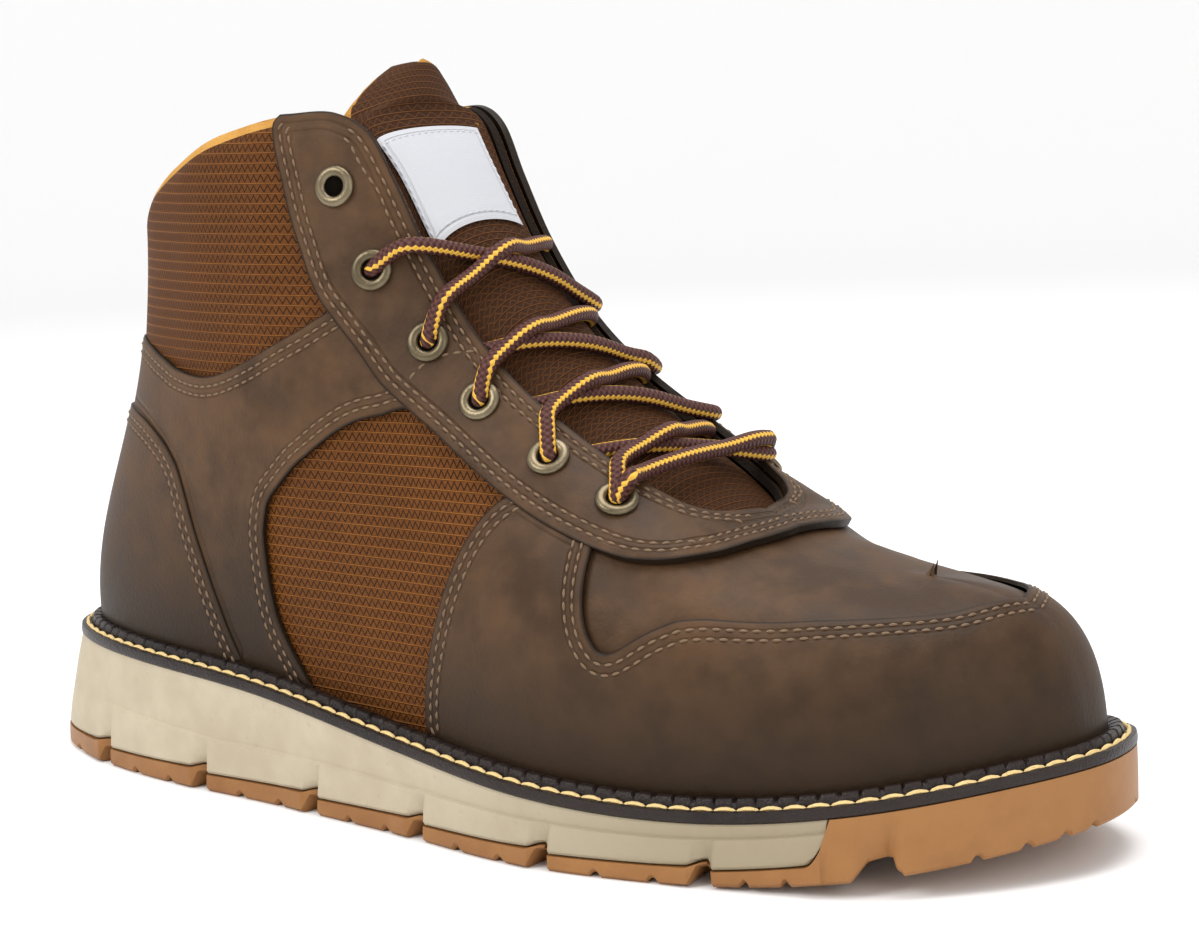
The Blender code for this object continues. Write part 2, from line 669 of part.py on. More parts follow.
def tongue_rows():
    rows = []
    across = TONGUE_ACROSS
    for k in TONGUE_KS:
        if k >= RIDGE_START - 0.005:
            ts = np.linspace(TONGUE_WING["t"][-1], 1.0, 3 + across // 2)
            depth = SHELL_FACE - SHELL_WALL - TONGUE_GAP
            line = [layer(-k, t, depth) for t in ts]
            line += [layer(k, t, depth) for t in ts[::-1][1:]]
            rows.append(line)
        else:
            rows.append(tongue_row(k, across))
    count = len(rows[0])
    last = rows[-1]
    mid_y = 0.5 * (last[0][1] + last[-1][1])
    for x, half, z, drop in TONGUE_TOP:
        line = []
        for i in range(count):
            w = 2 * i / (count - 1) - 1
            line.append(np.array([x * LENGTH - TONGUE_CURL * w * w, mid_y + half * BALL_WIDTH * w,
                                  (z - drop * w * w) * COLLAR_HEIGHT]))
        rows.append(line)
    return np.array(rows)


def normals_of(grid):
    """Unit normals of a grid of points, all on the side that is up and forward at its middle."""
    du = np.gradient(grid, axis=0)
    dv = np.gradient(grid, axis=1)
    n = np.cross(dv, du)
    n /= np.linalg.norm(n, axis=-1)[..., None]
    middle = n[grid.shape[0] // 2, grid.shape[1] // 2]
    return n * (1 if middle[0] + middle[2] > 0 else -1)


def thick_grid(name, face, wall, mat):
    """Closed solid: a grid of points and the same grid set back by the wall."""
    rows, columns = face.shape[:2]
    back = face - normals_of(face) * wall
    points = np.concatenate([face.reshape(-1, 3), back.reshape(-1, 3)])
    shift = rows * columns
    faces = grid_faces(rows, columns)
    faces += [tuple(v + shift for v in f[::-1]) for f in faces]
    rim = [(0, j) for j in range(columns)] + [(i, columns - 1) for i in range(1, rows)]
    rim += [(rows - 1, j) for j in range(columns - 2, -1, -1)] + [(i, 0) for i in range(rows - 2, 0, -1)]
    for n, (i, j) in enumerate(rim):
        p, q = rim[(n + 1) % len(rim)]
        faces.append((i * columns + j, p * columns + q, shift + p * columns + q, shift + i * columns + j))
    return add_object(name, points, faces, mat, merge=0.001)


def grid_at(grid, u, v):
    """Point of a grid of points at fractional row u and column v."""
    i = min(int(u), grid.shape[0] - 2)
    j = min(int(v), grid.shape[1] - 2)
    a, b = u - i, v - j
    return ((1 - a) * (1 - b) * grid[i, j] + a * (1 - b) * grid[i + 1, j]
            + (1 - a) * b * grid[i, j + 1] + a * b * grid[i + 1, j + 1])


def build_tongue(mat):
    return thick_grid("tongue", tongue_rows(), TONGUE_WALL, mat)


def build_label(mat):
    rows = tongue_rows()
    lifted = rows + normals_of(rows) * (CLEAR + LABEL_THICK)
    face = np.array([[grid_at(lifted, u, v) for v in LABEL_COLUMNS] for u in LABEL_ROWS])
    return thick_grid("tongue_label", face, LABEL_THICK, mat)


def eyelet_frame(side, k, t):
    centre = layer(side * k, t, LEVEL_TWO + CLEAR)
    n = outward(side * k, t)
    along = np.cross(n, (0, side, 0))
    along /= np.linalg.norm(along)
    return centre, n, along, np.cross(n, along)


def build_eyelets(mat):
    profile = [(EYELET_HOLE, 0.0), (EYELET_OUTER, 0.0),
               (EYELET_OUTER - 0.6, EYELET_HEIGHT), (EYELET_HOLE + 0.3, EYELET_HEIGHT)]
    around = 10
    for side, word in ((-1, "lateral"), (1, "medial")):
        for number, (k, t) in enumerate(EYELETS, 1):
            centre, n, along, across = eyelet_frame(side, k, t)
            points = []
            for i in range(around):
                a = 2 * math.pi * i / around
                spoke = math.cos(a) * along + math.sin(a) * across
                for radius, height in profile:
                    points.append(centre + radius * spoke + (height + CLEAR) * n)
            count = len(profile)
            faces = []
            for i in range(around):
                for j in range(count):
                    m = (i + 1) % around
                    q = (j + 1) % count
                    faces.append((i * count + j, i * count + q, m * count + q, m * count + j))
            add_object(f"eyelet_{word}_{number}", points, faces, mat, merge=0.001)


def tube(name, path, radius, mat, sides=6):
    path = np.asarray(path, float)
    tangent = np.gradient(path, axis=0)
    tangent /= np.linalg.norm(tangent, axis=1)[:, None]
    points = []
    for p, d in zip(path, tangent):
        u = np.cross(d, (0.5, 0, 1))
        u /= np.linalg.norm(u)
        v = np.cross(d, u)
        for i in range(sides):
            a = 2 * math.pi * i / sides
            points.append(p + radius * (math.cos(a) * u + math.sin(a) * v))
    faces = []
    for i in range(len(path) - 1):
        for j in range(sides):
            m = (j + 1) % sides
            faces.append((i * sides + j, i * sides + m, (i + 1) * sides + m, (i + 1) * sides + j))
    faces.append(tuple(range(sides)))
    faces.append(tuple((len(path) - 1) * sides + j for j in range(sides)))
    return add_object(name, points, faces, mat, merge=0.001)


def lace_path(start, end, start_shift, end_shift, gap):
    """Lace from beside one eyelet to beside the other, arched clear of eyestay and tongue."""
    rise = LEVEL_TWO + gap + LACE_RADIUS
    a = layer(-LACE_ENDS[start] - start_shift * LACE_APART, LACE_T, rise)
    d = layer(LACE_ENDS[end] + end_shift * LACE_APART, LACE_T, rise)
    reach = (d - a) * LACE_REACH
    lift = np.linalg.norm(reach) * LACE_LIFT * np.array(INSTEP_UP)
    b = a + reach + lift
    c = d - reach + lift
    ws = np.linspace(0, 1, LACE_STEPS + 1)[:, None]
    return a * (1 - ws) ** 3 + 3 * b * ws * (1 - ws) ** 2 + 3 * c * ws * ws * (1 - ws) + d * ws ** 3


def join_by_union(first, second):
    union = first.modifiers.new("union", "BOOLEAN")
    union.operation = "UNION"
    union.object = second
    second.hide_render = True
    second.display_type = "WIRE"


def build_laces(mat):
    """The bar at the lowest eyelets and four crossings. Ends that share an eyelet lie side by side."""
    tube("lace_bar", lace_path(0, 0, 1, 1, LACE_BAR_GAP), LACE_RADIUS, mat)
    for low in range(4):
        high = low + 1
        one = lace_path(low, high, -1, 1, LACE_GAP)
        other = lace_path(high, low, 1, -1, LACE_GAP)
        first = tube(f"lace_cross_{high}", one, LACE_RADIUS, mat)
        second = tube(f"lace_cross_{high}_other", other, LACE_RADIUS, mat)
        join_by_union(first, second)


def main():
    for obj in list(bpy.data.objects):
        bpy.data.objects.remove(obj, do_unlink=True)
    leather = material("brown_leather", LEATHER, 0.55)
    build_outsole(material("gum_rubber", GUM, 0.5))
    build_midsole(material("cream_foam", CREAM, 0.6))
    build_welt(material("dark_welt", BLACK_BROWN, 0.5))
    build_insole(material("tan_footbed", TAN, 0.9))
    build_upper(material("brown_fabric", FABRIC, 0.85))
    build_mudguard(leather)
    build_band(leather)
    build_counter(leather)
    build_eyestay(leather)
    build_tongue(material("tongue_fabric", FABRIC, 0.9))
    build_label(material("woven_label", WHITE, 0.8))
    build_eyelets(material("antique_brass", BRASS, 0.35, 0.9))
    build_laces(material("lace_cord", LACE, 0.8))


main()
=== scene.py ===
# %% [markdown]
# # A wedge sole work boot
# The boot has a hollow leather and fabric upper, a cream wedge midsole and a gum rubber outsole.
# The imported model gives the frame: its nodes say where every piece sits, and this script dresses them.

# %% Load the frame
import math

import bmesh
import bpy
import numpy as np
from mathutils import Matrix, Vector, kdtree


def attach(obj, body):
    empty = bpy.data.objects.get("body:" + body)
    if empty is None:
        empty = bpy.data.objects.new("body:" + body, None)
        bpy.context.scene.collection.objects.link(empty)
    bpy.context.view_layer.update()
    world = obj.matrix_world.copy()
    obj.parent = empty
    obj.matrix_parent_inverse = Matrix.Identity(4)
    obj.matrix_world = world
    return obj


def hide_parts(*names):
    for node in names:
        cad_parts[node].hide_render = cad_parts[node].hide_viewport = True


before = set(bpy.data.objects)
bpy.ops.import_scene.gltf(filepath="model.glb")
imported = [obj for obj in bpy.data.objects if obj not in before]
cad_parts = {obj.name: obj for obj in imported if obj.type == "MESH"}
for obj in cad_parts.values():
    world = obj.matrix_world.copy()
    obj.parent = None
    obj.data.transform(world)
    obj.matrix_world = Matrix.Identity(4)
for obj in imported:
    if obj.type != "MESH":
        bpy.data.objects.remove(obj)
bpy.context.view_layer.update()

print("nodes:", len(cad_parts))

# %% [markdown]
# ## Camera, floor and light
# The camera stands in front of the boot's lateral side, a little above it, and looks down by eight degrees.
# Large area lights and a bright sky give the soft light of a product studio, so forms read by gentle shading.

# %% Camera, floor and lights
MM = 0.001
CAMERA_AZIMUTH = math.radians(37.15)
CAMERA_ELEVATION = math.radians(8.19)
CAMERA_ROLL = math.radians(-2.33)
CAMERA_DISTANCE = 610.1
CAMERA_TARGET = (24.1, 1.0, 81.3)
CAMERA_LENS = 76.4


def place_camera():
    ca, sa = math.cos(CAMERA_AZIMUTH), math.sin(CAMERA_AZIMUTH)
    ce, se = math.cos(CAMERA_ELEVATION), math.sin(CAMERA_ELEVATION)
    back = Vector((sa * ce, -ca * ce, se))
    level = Vector((ca, sa, 0))
    rise = back.cross(level)
    right = math.cos(CAMERA_ROLL) * level + math.sin(CAMERA_ROLL) * rise
    up = -math.sin(CAMERA_ROLL) * level + math.cos(CAMERA_ROLL) * rise
    data = bpy.data.cameras.new("camera")
    data.lens = CAMERA_LENS
    data.sensor_width = 36
    camera = bpy.data.objects.new("camera", data)
    bpy.context.scene.collection.objects.link(camera)
    turn = Matrix((right, up, back)).transposed().to_4x4()
    camera.matrix_world = Matrix.Translation((Vector(CAMERA_TARGET) + back * CAMERA_DISTANCE) * MM) @ turn
    bpy.context.scene.camera = camera


def soft_light(name, place, aim, size, energy):
    data = bpy.data.lights.new(name, "AREA")
    data.size = size
    data.energy = energy
    light = bpy.data.objects.new(name, data)
    bpy.context.scene.collection.objects.link(light)
    light.location = place
    light.rotation_euler = (Vector(place) - Vector(aim)).to_track_quat("Z", "Y").to_euler()


FLOOR_RADIUS = 2.4
FLOOR_WALL = 0.8
FLOOR_BEND = 0.6
SKY_STRENGTH = 0.85


def build_floor():
    """Round floor whose rim is drawn up, with a wide bend between, so that no horizon shows."""
    bpy.ops.mesh.primitive_circle_add(vertices=96, radius=FLOOR_RADIUS, fill_type="NGON")
    obj = bpy.context.active_object
    obj.name = "floor"
    bpy.ops.object.mode_set(mode="EDIT")
    bpy.ops.mesh.select_all(action="SELECT")
    bpy.ops.mesh.extrude_region_move(TRANSFORM_OT_translate={"value": (0, 0, FLOOR_WALL)})
    bpy.ops.mesh.delete(type="ONLY_FACE")
    bpy.ops.mesh.select_all(action="DESELECT")
    bpy.ops.object.mode_set(mode="OBJECT")
    for edge in obj.data.edges:
        edge.select = all(abs(obj.data.vertices[i].co.z) < 1e-6 for i in edge.vertices)
    bpy.ops.object.mode_set(mode="EDIT")
    bpy.ops.mesh.bevel(offset=FLOOR_BEND, segments=14)
    bpy.ops.mesh.select_all(action="SELECT")
    bpy.ops.mesh.normals_make_consistent(inside=True)
    bpy.ops.object.mode_set(mode="OBJECT")
    bpy.ops.object.shade_smooth()
    return obj


place_camera()
floor = build_floor()
soft_light("key", (-0.35, -1.0, 0.95), (0, 0, 0.06), 0.6, 8)
soft_light("top", (0.1, 0.1, 1.3), (0, 0, 0.05), 0.9, 12)
soft_light("front", (1.1, -0.5, 0.55), (0, 0, 0.05), 0.7, 2.5)
world = bpy.data.worlds.new("studio")
bpy.context.scene.world = world
world.use_nodes = True
world.node_tree.nodes["Background"].inputs["Color"].default_value = (1, 1, 1, 1)
world.node_tree.nodes["Background"].inputs["Strength"].default_value = SKY_STRENGTH
bpy.context.scene.view_settings.view_transform = "Standard"

# %% [markdown]
# ## The last and its curves
# A boot is built on a last. Here the last is a formula: every section is one cubic curve from the feather
# line above the welt to the top line, and k runs from the heel back (0) to the toe tip (1) on each side.
# The named sizes and the short tables of shares are those of the solid model, with two small changes: the
# throat ends a little sooner, and the row called soft keeps the surface below the throat's edge rounder.

# %% Named sizes in millimetres
CLEAR = 0.3
LENGTH = 307.5
BALL_WIDTH = 110.0
HEEL_STACK = 32.2
HEEL_RAKE = 9.0
TOE_SPRING = 10.5
GUM_HEEL = 5.8
GUM_TOE = 4.2
WELT_WIDTH = 11.0
WELT_THICK = 2.5
BEAD_HEIGHT = 1.6
BEAD_FOOT = 5.1
COLLAR_HEIGHT = 168.5
SHELL_WALL = 2.2
COLLAR_WALL = 7.0
OVERLAY_WALL = 1.15
TOP_LAYER_STEP = 0.75
SHELL_GAP = 0.75
LEVEL_ONE = 0.0
LEVEL_TWO = LEVEL_ONE + TOP_LAYER_STEP
OVERLAY_BACK = LEVEL_ONE - OVERLAY_WALL
SHELL_FACE = OVERLAY_BACK - SHELL_GAP
FEATHER_INSET = BEAD_FOOT + LEVEL_TWO + 2 * CLEAR
FEATHER_RISE = 2 * CLEAR + WELT_THICK
TONGUE_DEPTH = SHELL_FACE - SHELL_WALL - 0.6
SIDE_LENGTH = 1.25 * LENGTH

# %% Tables of shares
SOLE_OUTLINE = [
    (-0.50, 0.01), (-0.48, -0.18), (-0.415, -0.30), (-0.30, -0.38), (-0.15, -0.41),
    (0.0, -0.455), (0.13, -0.50), (0.27, -0.44), (0.39, -0.335), (0.465, -0.14),
    (0.50, 0.08), (0.475, 0.31), (0.375, 0.445), (0.23, 0.50), (0.08, 0.43),
    (-0.06, 0.35), (-0.21, 0.345), (-0.32, 0.375), (-0.42, 0.325), (-0.48, 0.20),
]
RAKE_START = -0.2
RAKE_NARROW = 0.03
SPRING_START = 0.23
SPRING_END = 0.5
WRAP_START = 0.80
MIDSOLE_TOP = {"x": [-0.5, -0.2, 0.06, 0.26, 0.5], "z": [1.0, 0.88, 0.56, 0.44, 0.74]}
LUG_GAPS = [0.170, 0.287, 0.402, 0.506, 0.616, 0.727]
TOE_NOTCH = 0.839
TOP = {
    "k": [0.0, 0.05, 0.10, 0.20, 0.30, 0.38, 0.41, 0.43, 0.46, 0.50,
          0.54, 0.58, 0.62, 0.66, 0.68, 0.692, 0.70, 0.72, 0.80, 0.90, 1.0],
    "x": [-0.395, -0.387, -0.365, -0.30, -0.22, -0.135, -0.095, -0.073, -0.05, -0.02,
          0.02, 0.067, 0.125, 0.182, 0.206, 0.218, 0.225, 0.24, 0.29, 0.335, 0.36],
    "half": [0, 0.08, 0.15, 0.25, 0.305, 0.285, 0.255, 0.235, 0.22, 0.215,
             0.215, 0.22, 0.22, 0.20, 0.165, 0.105, 0, 0, 0, 0, 0],
    "soft": [0, 0.08, 0.15, 0.25, 0.305, 0.285, 0.255, 0.235, 0.22, 0.215,
             0.215, 0.22, 0.22, 0.185, 0.155, 0.13, 0.11, 0.06, 0, 0, 0],
    "z": [0.85, 0.855, 0.875, 0.925, 0.975, 1.0, 0.998, 0.975, 0.90, 0.795,
          0.69, 0.61, 0.54, 0.478, 0.454, 0.444, 0.438, 0.426, 0.40, 0.38, 0.375],
}
RIDGE_START = 0.70
EDGE_BAND = 0.68
MIDLINE = {"k": [0, 0.3, 0.5, 0.72, 1.0], "y": [0.01, 0.015, 0.015, 0.035, 0.06]}
SECTION = {
    "k": [0.0, 0.2, 0.4, 0.55, 0.72, 0.85, 1.0],
    "foot_out": [0.03, 0.015, 0.03, 0.035, 0.065, 0.015, -0.02],
    "foot_up": [0.20, 0.24, 0.265, 0.235, 0.21, 0.195, 0.18],
    "top_out": [-0.045, -0.03, 0.06, 0.105, 0.30, 0.27, 0.215],
    "top_up": [-0.315, -0.32, -0.26, -0.135, -0.02, 0, 0],
}


# %% Helpers for lines and grids of points
def run_along(line):
    """Distance run along a line of points, from 0 at its first point."""
    return np.r_[0, np.cumsum(np.linalg.norm(np.diff(line, axis=0), axis=1))]


def unit(v):
    return v / np.linalg.norm(v, axis=-1)[..., None]


def quads(rows, columns, around=False, onward=False):
    """Four sided faces of a grid of points. It may close around its columns and onward over its rows."""
    faces = []
    for i in range(rows if onward else rows - 1):
        for j in range(columns if around else columns - 1):
            m, n = (i + 1) % rows, (j + 1) % columns
            faces.append((i * columns + j, i * columns + n, m * columns + n, m * columns + j))
    return faces


def point_tree(points):
    tree = kdtree.KDTree(len(points))
    for i, p in enumerate(points):
        tree.insert(p, i)
    tree.balance()
    return tree


# %% Curves through the tables
def smooth(knots, values, at, level_start=False):
    """Cubic curve through the knots, read at the given places. It can leave its first knot level."""
    knots = np.asarray(knots, float)
    values = np.asarray(values, float)
    at = np.clip(at, knots[0], knots[-1])
    slopes = np.gradient(values, knots)
    if level_start:
        slopes[0] = 0
    i = np.clip(np.searchsorted(knots, at, side="right") - 1, 0, len(knots) - 2)
    h = knots[i + 1] - knots[i]
    s = (at - knots[i]) / h
    start = (1 + 2 * s) * (1 - s) ** 2 * values[i] + s * (1 - s) ** 2 * h * slopes[i]
    end = s * s * (3 - 2 * s) * values[i + 1] + s * s * (s - 1) * h * slopes[i + 1]
    return start + end


def spline(rows, closed=False, each=8, corners=()):
    """Catmull-Rom curve through rows of numbers. The named rows stay sharp corners."""
    p = np.asarray(rows, float)
    n = len(p)
    out = []
    for i in range(n if closed else n - 1):
        b, c = p[i], p[(i + 1) % n]
        a = p[i - 1] if closed or (i > 0 and i not in corners) else b
        d = p[(i + 2) % n] if closed or (i + 2 < n and i + 1 not in corners) else c
        for s in np.arange(0, 1, 1 / each):
            out.append(0.5 * (2 * b + (c - a) * s + (2 * a - 5 * b + 4 * c - d) * s * s
                              + (3 * b - a - 3 * c + d) * s ** 3))
    if not closed:
        out.append(p[-1])
    return np.array(out)


def half_outlines(rake):
    """Lateral (-1) and medial (+1) halves of the sole's outline, each read by k."""
    loop = spline(SOLE_OUTLINE, closed=True, each=24) * (LENGTH, BALL_WIDTH)
    start = RAKE_START * LENGTH
    s = np.clip((start - loop[:, 0]) / (start - loop[:, 0].min()), 0, 1)
    loop = np.c_[loop[:, 0] + rake * s ** 2, loop[:, 1] * (1 - RAKE_NARROW * s * (rake > 0))]
    loop = np.roll(loop, -loop[:, 0].argmin(), axis=0)
    toe = loop[:, 0].argmax()
    halves = {}
    for side, line in ((-1, loop[:toe + 1]), (1, np.vstack([loop[toe:], loop[:1]])[::-1])):
        run = run_along(line)
        k = np.linspace(0, 1, 401)
        xy = np.c_[np.interp(k, run / run[-1], line[:, 0]), np.interp(k, run / run[-1], line[:, 1])]
        along = unit(np.gradient(xy, k, axis=0))
        out = np.c_[along[:, 1], -along[:, 0]] * -side
        out[0] = (-1, 0)
        out[-1] = (1, 0)
        halves[side] = (k, xy, out)
    return halves


GROUND = half_outlines(0.0)
WELT = half_outlines(HEEL_RAKE)


def plan(halves, side, k, inset):
    """Plan point inset from an outline, with the outward direction there."""
    ks, xy, out = halves[side]
    nx = np.interp(k, ks, out[:, 0])
    ny = np.interp(k, ks, out[:, 1])
    length = np.hypot(nx, ny)
    x = np.interp(k, ks, xy[:, 0]) - inset * nx / length
    y = np.interp(k, ks, xy[:, 1]) - inset * ny / length
    return x, y, nx / length, ny / length


def midsole_top(x):
    return HEEL_STACK * smooth(MIDSOLE_TOP["x"], MIDSOLE_TOP["z"], x / LENGTH)


def ground_z(x):
    rise = np.clip((x / LENGTH - SPRING_START) / (SPRING_END - SPRING_START), 0, None)
    return TOE_SPRING * rise ** 1.8


# %% The main form and its layers
def top_point(k):
    x = LENGTH * smooth(TOP["k"], TOP["x"], k, level_start=True)
    z = COLLAR_HEIGHT * smooth(TOP["k"], TOP["z"], k, level_start=True)
    return x, z


def form(s, t):
    """Point of the upper's form. s runs -1..0 on the lateral side and 0..1 on the medial side."""
    s = np.asarray(s, float)
    t = np.asarray(t, float)
    s = np.where(s > 1, s - 2, np.where(s < -1, s + 2, s))
    k = np.abs(s)
    side = np.where(s < 0, -1.0, 1.0)
    lateral = plan(WELT, -1, k, FEATHER_INSET)
    medial = plan(WELT, 1, k, FEATHER_INSET)
    bx, by, nx, ny = [np.where(side < 0, a, b) for a, b in zip(lateral, medial)]
    bz = midsole_top(bx) + FEATHER_RISE
    x, z = top_point(k)
    half = BALL_WIDTH * np.where(k >= RIDGE_START, 0, np.clip(smooth(TOP["k"], TOP["half"], k), 0, None))
    soft = BALL_WIDTH * np.clip(smooth(TOP["k"], TOP["soft"], k), 0, None)
    mid = BALL_WIDTH * smooth(MIDLINE["k"], MIDLINE["y"], k)
    foot_out = BALL_WIDTH * smooth(SECTION["k"], SECTION["foot_out"], k)
    foot_up = COLLAR_HEIGHT * smooth(SECTION["k"], SECTION["foot_up"], k)
    top_out = BALL_WIDTH * smooth(SECTION["k"], SECTION["top_out"], k)
    top_up = COLLAR_HEIGHT * smooth(SECTION["k"], SECTION["top_up"], k)
    back_x, back_z = top_point(k - 0.01)
    ridge_slope = (z - back_z) / np.clip(x - back_x, 0.2, None)
    on_ridge = np.clip((k - RIDGE_START + 0.04) / 0.06, 0, 1)
    lift = top_up * (1 - on_ridge) + on_ridge * top_out * nx * ridge_slope
    foot = np.stack([bx, by, bz], -1)
    top = np.stack([x, mid + side * soft, z], -1)
    low = foot + np.stack([nx * foot_out, ny * foot_out, foot_up], -1)
    high = top + np.stack([nx * top_out, ny * top_out, lift], -1)
    near = np.clip((t - EDGE_BAND) / (1 - EDGE_BAND), 0, 1)
    to_edge = side * (half - soft) * near * near * (3 - 2 * near)
    t = t[..., None]
    points = foot * (1 - t) ** 3 + 3 * low * t * (1 - t) ** 2 + 3 * high * t * t * (1 - t) + top * t ** 3
    points[..., 1] += to_edge
    return points


def outward(s, t):
    e = 0.004
    s = np.asarray(s, float)
    t = np.asarray(t, float)
    up = form(s, np.clip(t + e, 0, 1)) - form(s, np.clip(t - e, 0, 1))
    along = form(s + e, np.clip(t, 0, 0.995)) - form(s - e, np.clip(t, 0, 0.995))
    return unit(np.cross(up, along))


def layer(s, t, height):
    """Point at a height above the form. On the centre lines the normal stays in the middle plane."""
    s = np.asarray(s, float)
    t = np.asarray(t, float)
    tiny = 1e-6
    ridge = (t > 1 - tiny) & (np.abs(s) >= RIDGE_START - tiny)
    middle = (np.abs(s) < tiny) | (np.abs(s) > 1 - tiny) | ridge
    n = outward(s, t)
    both = n + np.where(middle[..., None], outward(-s, t), n)
    return form(s, t) + unit(both) * np.asarray(height, float)[..., None]


print("toe tip of the form:", np.round(form(1.0, 0.5), 1), "collar back:", np.round(form(0.0, 1.0), 1))

# %% [markdown]
# ## Materials
# Waxy leather is mottled and has a fine grain. The fabric has raised threads in lines with a zigzag
# between them, so its pattern is worked out from the piece's own UV map, which is in millimetres.
# Grain is shared by several finishes and is a node group, which puts out values and no shader.


# %% Helpers for nodes
def add(tree, kind, inputs=(), **props):
    """New node with its properties, and each input set to a value or linked to a socket."""
    node = tree.nodes.new(kind)
    for key, value in props.items():
        setattr(node, key, value)
    for key, value in dict(inputs).items():
        if isinstance(value, bpy.types.NodeSocket):
            tree.links.new(value, node.inputs[key])
        else:
            node.inputs[key].default_value = value
    return node


def maths(tree, operation, *values):
    return add(tree, "ShaderNodeMath", enumerate(values), operation=operation).outputs[0]


def mix(tree, share, first, second):
    node = add(tree, "ShaderNodeMix", data_type="RGBA")
    for place, value in ((0, share), (6, first), (7, second)):
        if isinstance(value, bpy.types.NodeSocket):
            tree.links.new(value, node.inputs[place])
        else:
            node.inputs[place].default_value = (*value, 1) if isinstance(value, tuple) else value
    return node.outputs[2]


def ramp(tree, value, low, high):
    """0 below low and 1 above high, smoothly between."""
    node = add(tree, "ShaderNodeMapRange", {"Value": value, "From Min": low, "From Max": high},
               interpolation_type="SMOOTHSTEP")
    return node.outputs["Result"]


def line_at(tree, value, centre, width):
    """1 on a line where value is near centre, falling to 0 a width away."""
    away = maths(tree, "ABSOLUTE", maths(tree, "SUBTRACT", value, centre))
    return maths(tree, "SUBTRACT", 1.0, ramp(tree, away, 0.0, width))


def noise(tree, vector, scale, detail=3.0):
    inputs = {"Vector": vector, "Scale": scale, "Detail": detail}
    return add(tree, "ShaderNodeTexNoise", inputs).outputs["Fac"]


def uv_axes(tree):
    """u and v of the piece's own map. u runs in millimetres."""
    split = add(tree, "ShaderNodeSeparateXYZ", {"Vector": add(tree, "ShaderNodeUVMap").outputs["UV"]})
    return split.outputs["X"], split.outputs["Y"]


def finish(name, colour, roughness, height=None, relief=0.0003, metallic=0.0, shine=0.5):
    """Principled material. colour, roughness and height may be sockets made by a builder on the same tree."""
    material = bpy.data.materials.new(name)
    material.use_nodes = True
    tree = material.node_tree
    shader = tree.nodes["Principled BSDF"]
    values = {"Base Color": colour, "Roughness": roughness}
    made = {key: value(tree) if callable(value) else value for key, value in values.items()}
    for key, value in made.items():
        if isinstance(value, bpy.types.NodeSocket):
            tree.links.new(value, shader.inputs[key])
        else:
            shader.inputs[key].default_value = (*value, 1) if isinstance(value, tuple) else value
    shader.inputs["Metallic"].default_value = metallic
    shader.inputs["Specular IOR Level"].default_value = shine
    if height is not None:
        bump = add(tree, "ShaderNodeBump", {"Height": height(tree), "Distance": relief, "Strength": 1.0})
        tree.links.new(bump.outputs["Normal"], shader.inputs["Normal"])
    return material


# %% The grain group
def make_grain():
    group = bpy.data.node_groups.new("grain", "ShaderNodeTree")
    group.interface.new_socket("Fineness", in_out="INPUT", socket_type="NodeSocketFloat")
    group.interface.new_socket("Height", in_out="OUTPUT", socket_type="NodeSocketFloat")
    group.interface.new_socket("Mottle", in_out="OUTPUT", socket_type="NodeSocketFloat")
    start = group.nodes.new("NodeGroupInput")
    end = group.nodes.new("NodeGroupOutput")
    place = add(group, "ShaderNodeTexCoord").outputs["Object"]
    pores = add(group, "ShaderNodeTexVoronoi", {"Vector": place, "Scale": start.outputs["Fineness"]})
    fine = maths(group, "MULTIPLY", noise(group, place, 2600.0), 0.5)
    height = maths(group, "ADD", maths(group, "MULTIPLY", pores.outputs["Distance"], 0.5), fine)
    clouds = maths(group, "ADD", maths(group, "MULTIPLY", noise(group, place, 22.0, 5.0), 0.65),
                   maths(group, "MULTIPLY", noise(group, place, 140.0), 0.35))
    group.links.new(height, end.inputs["Height"])
    group.links.new(ramp(group, clouds, 0.36, 0.64), end.inputs["Mottle"])
    return group


GRAIN = make_grain()


def grain(tree, fineness):
    node = add(tree, "ShaderNodeGroup")
    node.node_tree = GRAIN
    node.inputs["Fineness"].default_value = fineness
    return node.outputs


def attribute(tree, name):
    return add(tree, "ShaderNodeAttribute", attribute_name=name).outputs["Fac"]


# %% Leather
LEATHER_LIGHT = (0.093, 0.048, 0.022)
LEATHER_DARK = (0.042, 0.021, 0.009)
LEATHER_EDGE_AND_SHADE = (0.014, 0.008, 0.004)
SEAM_ROWS = (2.5, 4.7)


def leather_colour(tree):
    """Mottled wax, dark at the cut edges, and darker towards the sole, partly from burnish and partly as
    painted shade.
    """
    body = mix(tree, grain(tree, 900)["Mottle"], LEATHER_DARK, LEATHER_LIGHT)
    edge = attribute(tree, "edge")
    cut = maths(tree, "SUBTRACT", 1.0, ramp(tree, edge, 0.1, 0.9))
    body = mix(tree, cut, body, LEATHER_EDGE_AND_SHADE)
    # Painted shade: darker within 48 mm of the sole, partly burnish and partly the shade that falls low on
    # the boot.
    low = maths(tree, "SUBTRACT", 1.0, ramp(tree, attribute(tree, "rise"), 0.0, 48.0))
    return mix(tree, maths(tree, "MULTIPLY", low, 0.82), body, LEATHER_EDGE_AND_SHADE)


def leather_height(tree):
    edge = attribute(tree, "edge")
    channels = [line_at(tree, edge, row, 0.8) for row in SEAM_ROWS]
    both = maths(tree, "ADD", *channels)
    skin = maths(tree, "MULTIPLY", grain(tree, 900)["Height"], 0.22)
    return maths(tree, "SUBTRACT", skin, maths(tree, "MULTIPLY", both, 0.8))


def leather_roughness(tree):
    return maths(tree, "ADD", 0.44, maths(tree, "MULTIPLY", grain(tree, 900)["Mottle"], 0.12))


leather = finish("leather", leather_colour, leather_roughness, leather_height, relief=0.0005, shine=0.16)

# %% [markdown]
# The fabric's threads stand in lines a few millimetres apart. Between two lines a finer thread runs
# in a zigzag. A triangle wave of u compared with the place between the lines gives it.

